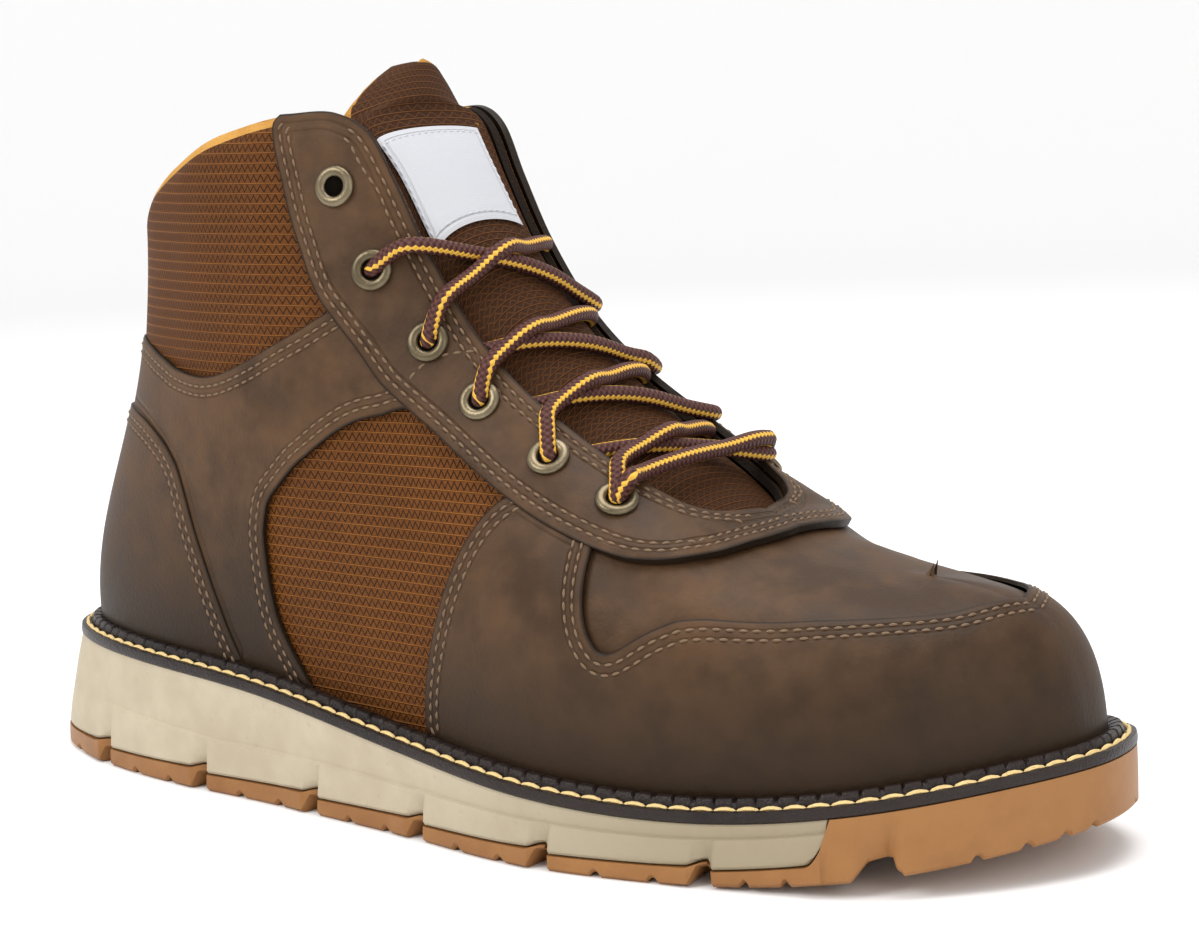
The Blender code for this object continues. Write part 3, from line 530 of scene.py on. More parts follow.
# %% Fabric, tongue cloth and lining
FABRIC_PITCH = 2.45
FABRIC_DARK = (0.042, 0.013, 0.003)
FABRIC_MIDDLE = (0.116, 0.038, 0.006)
FABRIC_THREAD = (0.33, 0.120, 0.024)


def weave(tree, pitch, tooth):
    """Masks of the straight threads and of the zigzag between them."""
    u, v = uv_axes(tree)
    place = maths(tree, "FRACT", maths(tree, "DIVIDE", v, pitch))
    line = line_at(tree, place, 0.12, 0.13)
    wave = maths(tree, "PINGPONG", maths(tree, "DIVIDE", u, tooth), 0.5)
    tooth_height = maths(tree, "ADD", 0.26, maths(tree, "MULTIPLY", wave, 1.36))
    zigzag = line_at(tree, place, tooth_height, 0.16)
    return line, zigzag


def fabric_colour(tree):
    line, zigzag = weave(tree, FABRIC_PITCH, FABRIC_PITCH)
    body = mix(tree, zigzag, FABRIC_MIDDLE, FABRIC_DARK)
    body = mix(tree, line, body, FABRIC_THREAD)
    return mix(tree, maths(tree, "MULTIPLY", grain(tree, 700)["Mottle"], 0.25), body, FABRIC_DARK)


def fabric_height(tree):
    line, zigzag = weave(tree, FABRIC_PITCH, FABRIC_PITCH)
    return maths(tree, "SUBTRACT", line, maths(tree, "MULTIPLY", zigzag, 0.7))


fabric = finish("ripstop", fabric_colour, 0.62, fabric_height, relief=0.0006, shine=0.12)

TONGUE_PITCH = 2.0
TONGUE_TOOTH = 3.4
TONGUE_DARK = (0.034, 0.013, 0.005)
TONGUE_THREAD = (0.20, 0.078, 0.024)


def tongue_colour(tree):
    line, zigzag = weave(tree, TONGUE_PITCH, TONGUE_TOOTH)
    threads = maths(tree, "MAXIMUM", line, maths(tree, "MULTIPLY", zigzag, 0.35))
    return mix(tree, threads, TONGUE_DARK, TONGUE_THREAD)


def tongue_height(tree):
    return weave(tree, TONGUE_PITCH, TONGUE_TOOTH)[0]


tongue_cloth = finish("tongue_cloth", tongue_colour, 0.75, tongue_height, relief=0.0006, shine=0.1)


def cloth_height(tree):
    return noise(tree, add(tree, "ShaderNodeTexCoord").outputs["Object"], 1500.0)


def lining_colour(tree):
    return mix(tree, grain(tree, 900)["Mottle"], (0.34, 0.16, 0.032), (0.52, 0.27, 0.065))


lining = finish("lining", lining_colour, 0.9, cloth_height, relief=0.0006, shine=0.1)
dark_lining = finish("dark_lining", (0.016, 0.011, 0.008), 0.9, cloth_height, relief=0.0004, shine=0.1)
print("materials so far:", len(bpy.data.materials))

# %% [markdown]
# ## Sheets of leather and fabric
# Every leather or fabric piece is a sheet between two heights above the same form, so the layers nest
# without fitting. The sheet is drawn as grids of (s, t), welded where grids meet, and given a wall round
# its open edges. It keeps the distance to its own edge in millimetres, which the leather's finish reads.


# %% Welding grids and making a sheet
def weld(patches):
    """Grids of (s, t) as one surface: s and t of each point, the faces and the open edges."""
    bm = bmesh.new()
    at_s = bm.verts.layers.float.new("s")
    at_t = bm.verts.layers.float.new("t")
    for grid in patches:
        rows, columns = grid.shape[:2]
        points = form(grid[..., 0], grid[..., 1])
        verts = []
        for p, (s, t) in zip(points.reshape(-1, 3), grid.reshape(-1, 2)):
            v = bm.verts.new(p)
            v[at_s] = s
            v[at_t] = t
            verts.append(v)
        for face in quads(rows, columns):
            bm.faces.new([verts[i] for i in face])
    bmesh.ops.remove_doubles(bm, verts=bm.verts, dist=0.03)
    bmesh.ops.recalc_face_normals(bm, faces=bm.faces)
    bm.verts.index_update()
    s = np.array([v[at_s] for v in bm.verts])
    t = np.array([v[at_t] for v in bm.verts])
    faces = [[v.index for v in f.verts] for f in bm.faces]
    rim = []
    for edge in bm.edges:
        if len(edge.link_faces) == 1:
            loop = edge.link_loops[0]
            rim.append((loop.vert.index, loop.link_loop_next.vert.index))
    bm.free()
    return s, t, faces, rim


def edge_distance(points, rim, visible):
    """Distance of each point to the sheet's nearest open edge that shows."""
    ends = sorted({i for pair in rim for i in pair if visible[i]})
    if not ends:
        return np.full(len(points), 99.0)
    tree = point_tree(points[ends])
    return np.array([tree.find(p)[2] for p in points])


def new_mesh(name, points, faces, materials, smooth_angle=45):
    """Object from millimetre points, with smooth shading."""
    mesh = bpy.data.meshes.new(name)
    mesh.from_pydata([tuple(p) for p in np.asarray(points) * MM], [], [tuple(f) for f in faces])
    for material in materials:
        mesh.materials.append(material)
    obj = bpy.data.objects.new(name, mesh)
    bpy.context.scene.collection.objects.link(obj)
    mesh.shade_smooth()
    mesh.set_sharp_from_angle(angle=math.radians(smooth_angle))
    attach(obj, "root")
    return obj


def face_outward(obj, merge=0.0):
    bm = bmesh.new()
    bm.from_mesh(obj.data)
    if merge:
        bmesh.ops.remove_doubles(bm, verts=bm.verts, dist=merge * MM)
    bmesh.ops.recalc_face_normals(bm, faces=bm.faces)
    bm.to_mesh(obj.data)
    bm.free()


def set_attribute(obj, name, values):
    layer_data = obj.data.attributes.new(name, "FLOAT", "POINT")
    layer_data.data.foreach_set("value", np.asarray(values, np.float32))


def set_uv(obj, uv):
    """UV of each point, copied to the corners of its faces."""
    corner = np.zeros(len(obj.data.loops), np.int32)
    obj.data.loops.foreach_get("vertex_index", corner)
    layer_data = obj.data.uv_layers.new(name="pattern")
    layer_data.data.foreach_set("uv", np.asarray(uv, np.float32)[corner].ravel())


EDGE_ROUND = 0.35
FOOT_HIDDEN = 0.02


def sheet(name, patches, back, face, materials, material_at=None):
    s, t, faces, rim = weld(patches)
    flat = layer(s, t, np.zeros(len(s)))
    edge = edge_distance(flat, rim, t > FOOT_HIDDEN)
    round_off = EDGE_ROUND * (1 - np.clip(edge / 0.8, 0, 1)) ** 2
    top = layer(s, t, face(s, t, edge) - round_off)
    under = layer(s, t, back(s, t, edge))
    n = len(s)
    every = list(faces) + [[i + n for i in f[::-1]] for f in faces]
    every += [(b, a, a + n, b + n) for a, b in rim]
    obj = new_mesh(name, np.vstack([top, under]), every, materials)
    face_outward(obj)
    set_attribute(obj, "edge", np.r_[edge, np.zeros(n)])
    # rise, the distance above the upper's foot, drives the painted shade towards the sole in the leather's
    # finish.
    foot = layer(s, np.zeros(n), np.zeros(n))
    rise = np.linalg.norm(flat - foot, axis=1)
    set_attribute(obj, "rise", np.r_[rise, rise])
    uv = np.c_[s * SIDE_LENGTH, flat[:, 2]]
    set_uv(obj, np.vstack([uv, uv]))
    if material_at is not None:
        centre = np.array([np.mean([abs(s[i]) for i in f]) for f in faces])
        high = np.array([np.mean([t[i] for i in f]) for f in faces])
        front = material_at(centre, high, False)
        behind = material_at(centre, high, True)
        rim_index = [int(material_at(np.array([abs(s[a])]), np.array([t[a]]), True)[0]) for a, b in rim]
        index = list(front) + list(behind) + rim_index
        obj.data.polygons.foreach_set("material_index", np.array(index, np.int32))
    print(name, len(every), "faces")
    return obj


def level(height):
    return lambda s, t, edge: np.full(len(s), float(height))


# %% [markdown]
# ## Creases
# Leather that was shaped on the last keeps a few soft creases: across the eyestay where the ankle bends,
# behind the vamp and beside the counter. Each row is one crease: where it lies, how long, wide and deep.

# %% Creases
CREASES = [
    # s, t, length, width, depth, slope
    (-0.47, 0.80, 15, 2.2, 0.35, 0.5),
    (-0.445, 0.72, 13, 2.0, 0.30, 0.6),
    (-0.40, 0.90, 12, 2.4, 0.25, 0.2),
    (-0.55, 0.75, 14, 2.6, 0.25, 0.3),
    (-0.36, 0.50, 18, 3.5, 0.35, -0.6),
    (-0.27, 0.50, 22, 4.0, 0.30, 0.1),
    (-0.76, 0.72, 26, 5.0, 0.45, 0.1),
    (-0.70, 0.62, 20, 4.0, 0.30, 0.3),
    (-0.72, 0.30, 30, 7.0, 0.35, 0.0),
    (0.47, 0.80, 15, 2.2, 0.35, 0.5),
    (0.40, 0.86, 12, 2.4, 0.25, 0.2),
    (0.36, 0.50, 18, 3.5, 0.35, -0.6),
    (0.76, 0.72, 26, 5.0, 0.45, 0.1),
]


def crease_depth(s, t):
    """Sum of the soft troughs at each point. Slope turns a crease in the plane of length and height."""
    points = form(s, t)
    depth = np.zeros(len(s))
    for at_s, at_t, length, width, deep, slope in CREASES:
        middle = form(at_s, at_t)
        ahead = form(at_s + 0.01 * np.sign(at_s), at_t) - middle
        ahead /= np.linalg.norm(ahead)
        rise = form(at_s, at_t + 0.01) - middle
        rise -= ahead * (rise @ ahead)
        rise /= np.linalg.norm(rise)
        away = points - middle
        u = away @ ahead
        v = away @ rise
        along = (u + slope * v) / math.hypot(1, slope)
        across = (v - slope * u) / math.hypot(1, slope)
        near = np.linalg.norm(away, axis=1) < 2 * length
        depth += near * deep * np.exp(-(along / (0.5 * length)) ** 2) * (
            np.exp(-(across / width) ** 2) - 0.5 * np.exp(-((across - 2 * width) / width) ** 2))
    return depth


# %% [markdown]
# ## The upper's shell
# One hollow shell makes the collar, the side panels and the plug of the vamp. The collar is padded, so
# it stands full, and its rim rolls over to the tan lining. Ahead of the eyestay the same shell is leather.

# %% The shell
COLLAR_FULL = 1.3
PAD_START = 0.60
PAD_BAND = 0.40
RIM_ROLL = 2.6
RIM_START = 0.955
RIM_BAND = 0.045
VAMP_START = 0.60
COLLAR_END = 0.37


def shell_patches(columns=210, rows=64):
    ks = np.unique(np.r_[np.linspace(0, 1, columns), np.linspace(0.66, RIDGE_START, 25), VAMP_START])
    ts = np.r_[np.linspace(0, 0.94, rows), np.linspace(0.95, 1, 7)]
    return [np.stack(np.meshgrid(side * ks, ts, indexing="ij"), -1) for side in (-1, 1)]


def on_collar(s, t):
    return np.clip((COLLAR_END + 0.01 - np.abs(s)) / 0.03, 0, 1)


def at_rim(t):
    """Share of the rim's roll: 0 below the rim and 1 at the top line."""
    return np.clip((t - RIM_START) / RIM_BAND, 0, 1) ** 2


def shell_face(s, t, edge):
    padding = COLLAR_FULL * np.sin(math.pi * np.clip((t - PAD_START) / PAD_BAND, 0, 1)) * on_collar(s, t)
    roll = RIM_ROLL * at_rim(t) * on_collar(s, t)
    return SHELL_FACE + padding - roll - crease_depth(s, t)


def shell_back(s, t, edge):
    thick = np.clip((t - 0.62) / 0.2, 0, 1) * np.clip((0.36 - np.abs(s)) / 0.08, 0, 1)
    roll = (RIM_ROLL - 0.6) * at_rim(t) * thick
    return SHELL_FACE - SHELL_WALL - (COLLAR_WALL - SHELL_WALL) * thick + roll


def shell_material(k, t, behind):
    """0 fabric, 1 leather, 2 lining, 3 dark lining beside the throat."""
    outside = np.where(k > VAMP_START, 1, 0)
    outside = np.where((t > 0.985) & (k < COLLAR_END), 2, outside)
    inside = np.where(k < 0.40, 2, 3)
    return inside if behind else outside


shell = sheet("collar_and_panels", shell_patches(), shell_back, shell_face,
              [fabric, leather, lining, dark_lining], shell_material)
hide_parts("upper")

# %% [markdown]
# ## The leather overlays
# The mudguard, the quarter band, the heel counter and the eyestay are cut leather, sewn on the shell.
# Their edges are drawn in k and t on one side and mirrored, and each is filled with a fine grid.

# %% Edges of the overlays
EYESTAY_INNER = [(0.42, 1), (0.435, 1), (0.455, 1), (0.49, 1), (0.53, 1),
                 (0.575, 1), (0.62, 1), (0.66, 1), (0.685, 1), (0.70, 1)]
EYESTAY_OUTER = [(0.373, 1), (0.3675, 0.985), (0.3685, 0.95), (0.374, 0.895), (0.386, 0.785), (0.407, 0.662),
                 (0.455, 0.602), (0.54, 0.655), (0.62, 0.652), (0.665, 0.675), (0.70, 0.755), (0.722, 0.86),
                 (0.736, 0.95), (0.741, 1)]
EYESTAY_OUTER_MEDIAL = EYESTAY_OUTER[:8] + [(0.62, 0.652), (0.668, 0.66), (0.712, 0.71), (0.732, 0.80),
                                            (0.738, 0.90), (0.741, 1)]
COUNTER_EDGE = [(0.305, 0), (0.288, 0.08), (0.262, 0.24), (0.24, 0.375), (0.225, 0.43), (0.20, 0.48),
                (0.16, 0.535), (0.11, 0.58), (0.07, 0.60), (0.03, 0.612), (0, 0.615)]
COUNTER_MIDDLE = [0, 0.09, 0.24, 0.36, 0.42, 0.47, 0.515, 0.55, 0.575, 0.595, 0.615]
COUNTER_LAP = (-0.008, -0.012)
BAND_FRONT = [(0.372, 0), (0.342, 0.115), (0.335, 0.255), (0.340, 0.32), (0.346, 0.345), (0.355, 0.365),
              (0.364, 0.384), (0.376, 0.408), (0.388, 0.427), (0.42, 0.48), (0.438, 0.51), (0.458, 0.55),
              (0.478, 0.598), (0.505, 0.66)]
BAND_TOP = [(0, 0.77), (0.03, 0.768), (0.06, 0.763), (0.10, 0.75), (0.145, 0.71), (0.19, 0.66),
            (0.23, 0.615), (0.28, 0.58), (0.328, 0.59), (0.372, 0.62), (0.402, 0.652), (0.432, 0.70)]
BAND_SPLIT = 0.23
MUDGUARD_TOP = [(0.59, 0.70), (0.615, 0.70), (0.64, 0.70), (0.637, 0.48), (0.642, 0.37), (0.655, 0.345),
                (0.685, 0.45), (0.71, 0.50), (0.77, 0.515), (0.86, 0.58), (0.95, 0.61), (1.0, 0.61)]
MUDGUARD_FOOT = [0.49, 0.52, 0.56, 0.59, 0.615, 0.64, 0.67, 0.70, 0.77, 0.86, 0.95, 1.0]
MUDGUARD_BOW = 0.018


def between(side, first, second, across):
    """Grid of (s, t) whose rows run from the first edge to the second."""
    w = np.linspace(0, 1, across + 1)[None, :, None]
    grid = first[:, None, :] + (second - first)[:, None, :] * w
    grid = np.clip(grid, 0, 1)
    return grid * (side, 1)


def even(line, count):
    """The same line with points at even steps."""
    run = run_along(line)
    at = np.linspace(0, run[-1], count)
    return np.c_[np.interp(at, run, line[:, 0]), np.interp(at, run, line[:, 1])]


def overlay_face(height):
    return lambda s, t, edge: height - crease_depth(s, t)


def overlay(name, patches, height):
    """Leather piece cut from the grids, with its face at a level."""
    return sheet(name, patches, level(OVERLAY_BACK), overlay_face(height), [leather])


# %% The four overlays
eyestay_inner = even(spline(EYESTAY_INNER), 150)
eyestay_outer = {-1: even(spline(EYESTAY_OUTER), 150), 1: even(spline(EYESTAY_OUTER_MEDIAL), 150)}
eyestay_patches = [between(side, eyestay_inner, eyestay_outer[side], 22) for side in (-1, 1)]
eyestay = overlay("eyestay_leather", eyestay_patches, LEVEL_TWO)
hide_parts("eyestay")

counter_edge = spline(COUNTER_EDGE, each=6)
middle_ts = spline(np.c_[COUNTER_MIDDLE, COUNTER_MIDDLE], each=6)[:, 0]
counter_middle = np.c_[np.zeros(len(counter_edge)), middle_ts]
counter_patches = [between(side, counter_edge, counter_middle, 46) for side in (-1, 1)]
counter = overlay("heel_counter_leather", counter_patches, LEVEL_TWO)
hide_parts("heel_counter")

band_top = spline(BAND_TOP, each=8)
band_front = spline(BAND_FRONT, each=6)
band_low = np.clip(counter_edge + COUNTER_LAP, 0, 1)
band_low[0, 1] = 0
band_low = band_low[::-1]


def band_patches(side):
    """Columns over the counter, then rows from the front edge back to the counter and up to the top edge."""
    ks = np.linspace(0, BAND_SPLIT, 60)
    low = np.interp(ks, band_low[:, 0], band_low[:, 1])
    high = np.interp(ks, band_top[:, 0], band_top[:, 1])
    share = np.linspace(0, 1, 25)
    rear = np.stack([np.repeat(side * ks[:, None], 25, 1), low[:, None] + (high - low)[:, None] * share], -1)
    leg = band_low[band_low[:, 0] > BAND_SPLIT + 0.001][::-1]
    column = np.c_[np.full(25, BAND_SPLIT), low[-1] + (high[-1] - low[-1]) * share]
    arm = band_top[band_top[:, 0] > BAND_SPLIT + 0.001]
    back = np.vstack([leg, column, arm])
    return [rear, between(side, even(band_front, len(back)), back, 34)]


band = overlay("quarter_band_leather", band_patches(-1) + band_patches(1), LEVEL_ONE)
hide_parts("quarter_band")

mudguard_top = spline(MUDGUARD_TOP, each=16, corners=(2,))
mudguard_foot = spline(np.c_[MUDGUARD_FOOT, np.zeros(len(MUDGUARD_FOOT))], each=16)


def mudguard_patch(side):
    grid = between(1, mudguard_foot, mudguard_top, 56)
    rows = 32
    rise = np.linspace(0, 1, grid.shape[1]) ** 0.6
    for i in range(rows):
        grid[i, :, 0] -= MUDGUARD_BOW * (1 - i / rows) ** 2 * np.sin(math.pi * rise)
    return grid * (side, 1)


mudguard = overlay("mudguard_leather", [mudguard_patch(side) for side in (-1, 1)], LEVEL_ONE)
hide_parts("toe_overlay")

# %% [markdown]
# ## The sole
# The outsole is gum rubber, cut into lugs by grooves that fade out in the midsole above them. Both are
# lofted: one section across the sole at each place along it, with the same number of points.

# %% Finishes of the sole
GUM_DARK = (0.235, 0.100, 0.030)
GUM_LIGHT = (0.295, 0.134, 0.042)
CREAM_DARK = (0.41, 0.345, 0.245)
CREAM_LIGHT = (0.475, 0.41, 0.30)
CREAM_WORN = (0.275, 0.225, 0.145)


def gum_colour(tree):
    return mix(tree, grain(tree, 500)["Mottle"], GUM_DARK, GUM_LIGHT)


def cream_colour(tree):
    body = mix(tree, grain(tree, 500)["Mottle"], CREAM_DARK, CREAM_LIGHT)
    place = add(tree, "ShaderNodeTexCoord").outputs["Object"]
    front = ramp(tree, add(tree, "ShaderNodeSeparateXYZ", {"Vector": place}).outputs["X"], -0.02, 0.10)
    body = mix(tree, maths(tree, "MULTIPLY", front, 0.85), body, CREAM_WORN)
    specks = ramp(tree, noise(tree, place, 420.0, 2.0), 0.66, 0.74)
    return mix(tree, maths(tree, "MULTIPLY", specks, 0.2), body, CREAM_WORN)


def fine_grain(tree):
    return grain(tree, 1600)["Height"]


def welt_colour(tree):
    return mix(tree, grain(tree, 800)["Mottle"], (0.008, 0.005, 0.0045), (0.020, 0.013, 0.011))


gum = finish("gum_rubber", gum_colour, 0.46, fine_grain, relief=0.00006, shine=0.25)
cream = finish("cream_foam", cream_colour, 0.62, fine_grain, relief=0.00008, shine=0.25)
welt_rubber = finish("dark_welt", welt_colour, 0.36, fine_grain, relief=0.00022, shine=0.24)


# %% Sections of the sole
GROOVE_DEPTH = 3.0
GROOVE_BEHIND = 4.6
GROOVE_AHEAD = 1.1
GROOVE_FADE = 6.5
LUG_SWELL = 0.9
STEP_DEPTH = 0.7
CORNER_RADIUS = 5.0
SMALL_NOTCH = 1.3
STEP_LINE = {"k": [0, 0.17, 0.30, 0.45, 0.60, 0.80], "share": [0.45, 0.45, 0.38, 0.50, 0.62, 0.72]}


def wall_point(side, k, share, inset):
    """Point of the sole's wall: share 0 is the ground outline and 1 the welt outline."""
    a = plan(GROUND, side, k, inset)
    b = plan(WELT, side, k, inset)
    return a[0] + (b[0] - a[0]) * share, a[1] + (b[1] - a[1]) * share


def along_block(k):
    """Share of the way through the lug at k, from its heel end to its toe end."""
    edges = [0.0] + LUG_GAPS + [WRAP_START]
    i = int(np.clip(np.searchsorted(edges, k, side="right") - 1, 0, len(edges) - 2))
    return (k - edges[i]) / (edges[i + 1] - edges[i])


def groove(k):
    """Depth of the nearest groove at k: a gentle slope behind it and a steep one ahead."""
    deep = 0.0
    for place in LUG_GAPS + [TOE_NOTCH]:
        away = (k - place) * SIDE_LENGTH
        wide = GROOVE_BEHIND if away < 0 else GROOVE_AHEAD
        if place == TOE_NOTCH:
            wide *= 1.9
        deep = max(deep, GROOVE_DEPTH * (1 - abs(away) / wide))
    return max(deep, 0.0)


def small_notch(k):
    """Two small notches under each lug, and a row of them under the toe."""
    places = [0.33, 0.68] if k < WRAP_START else [0.22, 0.46, 0.62, 0.75, 0.86]
    share = along_block(k) if k < WRAP_START else (k - WRAP_START) / (1 - WRAP_START)
    length = SIDE_LENGTH * (0.11 if k < WRAP_START else 0.2)
    near = min(abs(share - place) * length for place in places)
    return SMALL_NOTCH * max(0.0, 1 - (near / 1.5) ** 2)


def gum_thickness(x):
    return GUM_HEEL + (GUM_TOE - GUM_HEEL) * min(max((x / LENGTH + 0.5) / 0.78, 0), 1)


def seam_height(k, x):
    """Height of the line between gum and cream at k. It climbs along each lug."""
    base = float(ground_z(x)) + gum_thickness(x) * (0.80 + 0.24 * along_block(k))
    base += 0.9 * max(0.0, 1 - abs(along_block(k) - 0.97) / 0.09)
    left = (WRAP_START - k) * SIDE_LENGTH
    if left < CORNER_RADIUS:
        base += CORNER_RADIUS - math.sqrt(max(CORNER_RADIUS ** 2 - (CORNER_RADIUS - max(left, 0)) ** 2, 0))
    return base


def stations(end):
    ks = np.r_[0.0, 0.002, 0.004, np.linspace(0.007, 0.993, 640), 0.996, 0.998, 1.0]
    return [k for k in ks if k <= end]


def gum_side(side, k):
    x = wall_point(side, k, 0.0, 0.0)[0]
    floor_z = float(ground_z(x))
    gap = groove(k)
    swell = LUG_SWELL * max(0.0, along_block(k) - 0.72) / 0.28 if k < WRAP_START else 0.0
    rim = small_notch(k)
    across = 3.9 * min(gap / GROOVE_DEPTH * 2.2, 1.0)
    wrap = k >= WRAP_START
    tx = wall_point(side, k, 1.0, 0.0)[0]
    top = float(midsole_top(tx)) if wrap else seam_height(k, x)
    foot = floor_z + max(across, rim)
    rows = [(9.0, floor_z + across * 0.8), (0.9, foot), (-swell, foot + 0.9)]
    points = [(*wall_point(side, k, 0.0, inset + gap), z) for inset, z in rows]
    middle = 0.5 * (rows[-1][1] + top)
    share = 0.5 if wrap else 0.0
    fade = 0.35 if wrap else 1.0
    points.append((*wall_point(side, k, share, gap * (0.8 * fade + 0.2) - swell), middle))
    end = 1.0 if wrap else 0.0
    points.append((*wall_point(side, k, end, gap * (1 - end) + 0.15 - swell), top))
    points.append((*wall_point(side, k, end, 3.0 + gap), top))
    return points


def cream_side(side, k):
    x = wall_point(side, k, 0.0, 0.0)[0]
    tx = wall_point(side, k, 1.0, 0.0)[0]
    base = seam_height(k, x)
    top = float(midsole_top(tx))
    line = float(np.interp(k, STEP_LINE["k"], STEP_LINE["share"]))
    shown = min(max((k - 0.10) / 0.08, 0), 1) * STEP_DEPTH
    rows = [(0.0, 3.0), (0.0, 0.7), (0.05, 0.1), (0.2, 0.0), (line - 0.03, 0.0), (line, shown),
            (0.5 * (line + 1), shown * 0.8), (0.96, 0.25), (1.0, 0.6)]
    level_base = float(ground_z(x)) + gum_thickness(x)
    points = []
    for n, (share, inset) in enumerate(rows):
        z = base + 1.2 * share / 0.05 if n < 3 else level_base + (top - level_base) * share
        z = max(z, base + 0.4 * n)
        gap = groove(k) * max(0.0, 1 - (z - level_base) / GROOVE_FADE)
        points.append((*wall_point(side, k, share, inset + gap), z))
    return points


def loft(name, ends, side_points, material):
    sections = [side_points(-1, k)[::-1] + side_points(1, k) for k in ends]
    count = len(sections[0])
    points = [p for section in sections for p in section]
    faces = quads(len(sections), count, around=True)
    last = (len(sections) - 1) * count
    faces += [tuple(range(count)), tuple(last + j for j in range(count))]
    obj = new_mesh(name, points, faces, [material], smooth_angle=32)
    face_outward(obj, merge=0.01)
    print(name, len(faces), "faces")
    return obj


outsole = loft("gum_outsole", stations(1.0), gum_side, gum)
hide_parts("outsole")
midsole = loft("cream_midsole", stations(WRAP_START - 0.0008), cream_side, cream)
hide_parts("midsole")

# %% [markdown]
# ## Welt, foot bed and the rope of thread
# The welt is a strip round the upper's foot with a raised bead against the leather. The bead is nicked
# at an even pitch, and a thick waxed thread runs on the flat band outside it at the same pitch.

# %% Welt and foot bed
STITCH_PITCH = 5.2
NICK_WIDTH = 0.55
NICK_DEPTH = 1.0
BEAD_TALL = BEAD_HEIGHT + 0.7


def welt_profile(nick):
    top = CLEAR + WELT_THICK
    bead = top + BEAD_TALL - nick
    return [(0.5, 0.05), (0.05, 0.5), (0.0, 1.5), (0.25, top - 0.15), (0.7, top), (2.9, top - 0.1),
            (3.0 + nick * 0.5, top + 0.9), (3.5 + nick * 0.5, bead - 0.25), (4.2, bead),
            (BEAD_FOOT + 0.5, bead - 0.3), (WELT_WIDTH, top - 0.2), (WELT_WIDTH, 0.05)]


def build_welt(count=700):
    places = [(-1, k) for k in np.linspace(0, 1, count)] + [(1, k) for k in np.linspace(1, 0, count)[1:-1]]
    points = []
    for side, k in places:
        away = abs((k * SIDE_LENGTH / STITCH_PITCH) % 1 - 0.5) * STITCH_PITCH
        nick = NICK_DEPTH * max(0.0, 1 - (away / NICK_WIDTH) ** 2)
        for inset, rise in welt_profile(nick):
            x, y = plan(WELT, side, k, inset)[:2]
            points.append((x, y, float(midsole_top(x)) + rise))
    faces = quads(len(places), len(welt_profile(0)), around=True, onward=True)
    obj = new_mesh("nicked_welt", points, faces, [welt_rubber], smooth_angle=38)
    face_outward(obj)
    return obj


welt = build_welt()
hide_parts("welt")


def bed_side(side, k):
    rows = [(14.0, 0.6), (12.2, 0.7), (12.0, 2.2), (12.6, 3.7), (15.0, 4.0), (22.0, 3.9)]
    points = []
    for inset, rise in rows:
        x, y = plan(WELT, side, k, inset)[:2]
        points.append((x, y, float(midsole_top(x)) + rise))
    return points


foot_bed = loft("foot_bed", np.linspace(0.05, 0.95, 90), bed_side, lining)
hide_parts("insole")

# %% [markdown]
# ## Stitches
# One stitch is a short bent capsule. It is modelled once as a few rings of points and laid along the seam
# lines, which are the overlays' own edges moved inwards on the surface by a set number of millimetres.


# %% Laying stitches
def capsule(length, radius, dive, sides=6):
    rings = []
    for x, r in ((-0.5, 0.15), (-0.38, 0.8), (-0.12, 1.0), (0.12, 1.0), (0.38, 0.8), (0.5, 0.15)):
        sink = -dive * radius * (2 * x) ** 2
        for i in range(sides):
            a = 2 * math.pi * i / sides
            rings.append((x * length, radius * r * math.cos(a), radius * r * math.sin(a) + sink))
    caps = [tuple(range(sides))[::-1], tuple(5 * sides + i for i in range(sides))]
    return np.array(rings), caps + quads(6, sides, around=True)


def lay_stitches(name, lines, pitch, length, radius, material, slot, dive=1.3):
    """lines holds pairs of points and normals. Each line gets stitches at an even pitch."""
    shape, shape_faces = capsule(length, radius, dive)
    points, faces = [], []
    for line, normal in lines:
        run = run_along(line)
        count = int(run[-1] / pitch)
        if count < 1:
            continue
        at = (np.arange(count) + 0.5) * run[-1] / count
        here = np.stack([np.interp(at, run, line[:, i]) for i in range(3)], -1)
        ahead = np.stack([np.interp(at + 0.3, run, line[:, i]) for i in range(3)], -1)
        behind = np.stack([np.interp(at - 0.3, run, line[:, i]) for i in range(3)], -1)
        up = np.stack([np.interp(at, run, normal[:, i]) for i in range(3)], -1)
        for p, x, z in zip(here, ahead - behind, up):
            x = x / np.linalg.norm(x)
            y = np.cross(z, x)
            y /= np.linalg.norm(y)
            z = np.cross(x, y)
            start = len(points)
            points.extend(p + shape @ np.array([x, y, z]))
            faces.extend([tuple(i + start for i in f) for f in shape_faces])
    obj = new_mesh(name, points, faces, [material])
    face_outward(obj)
    print(name, len(faces), "faces")
    return obj


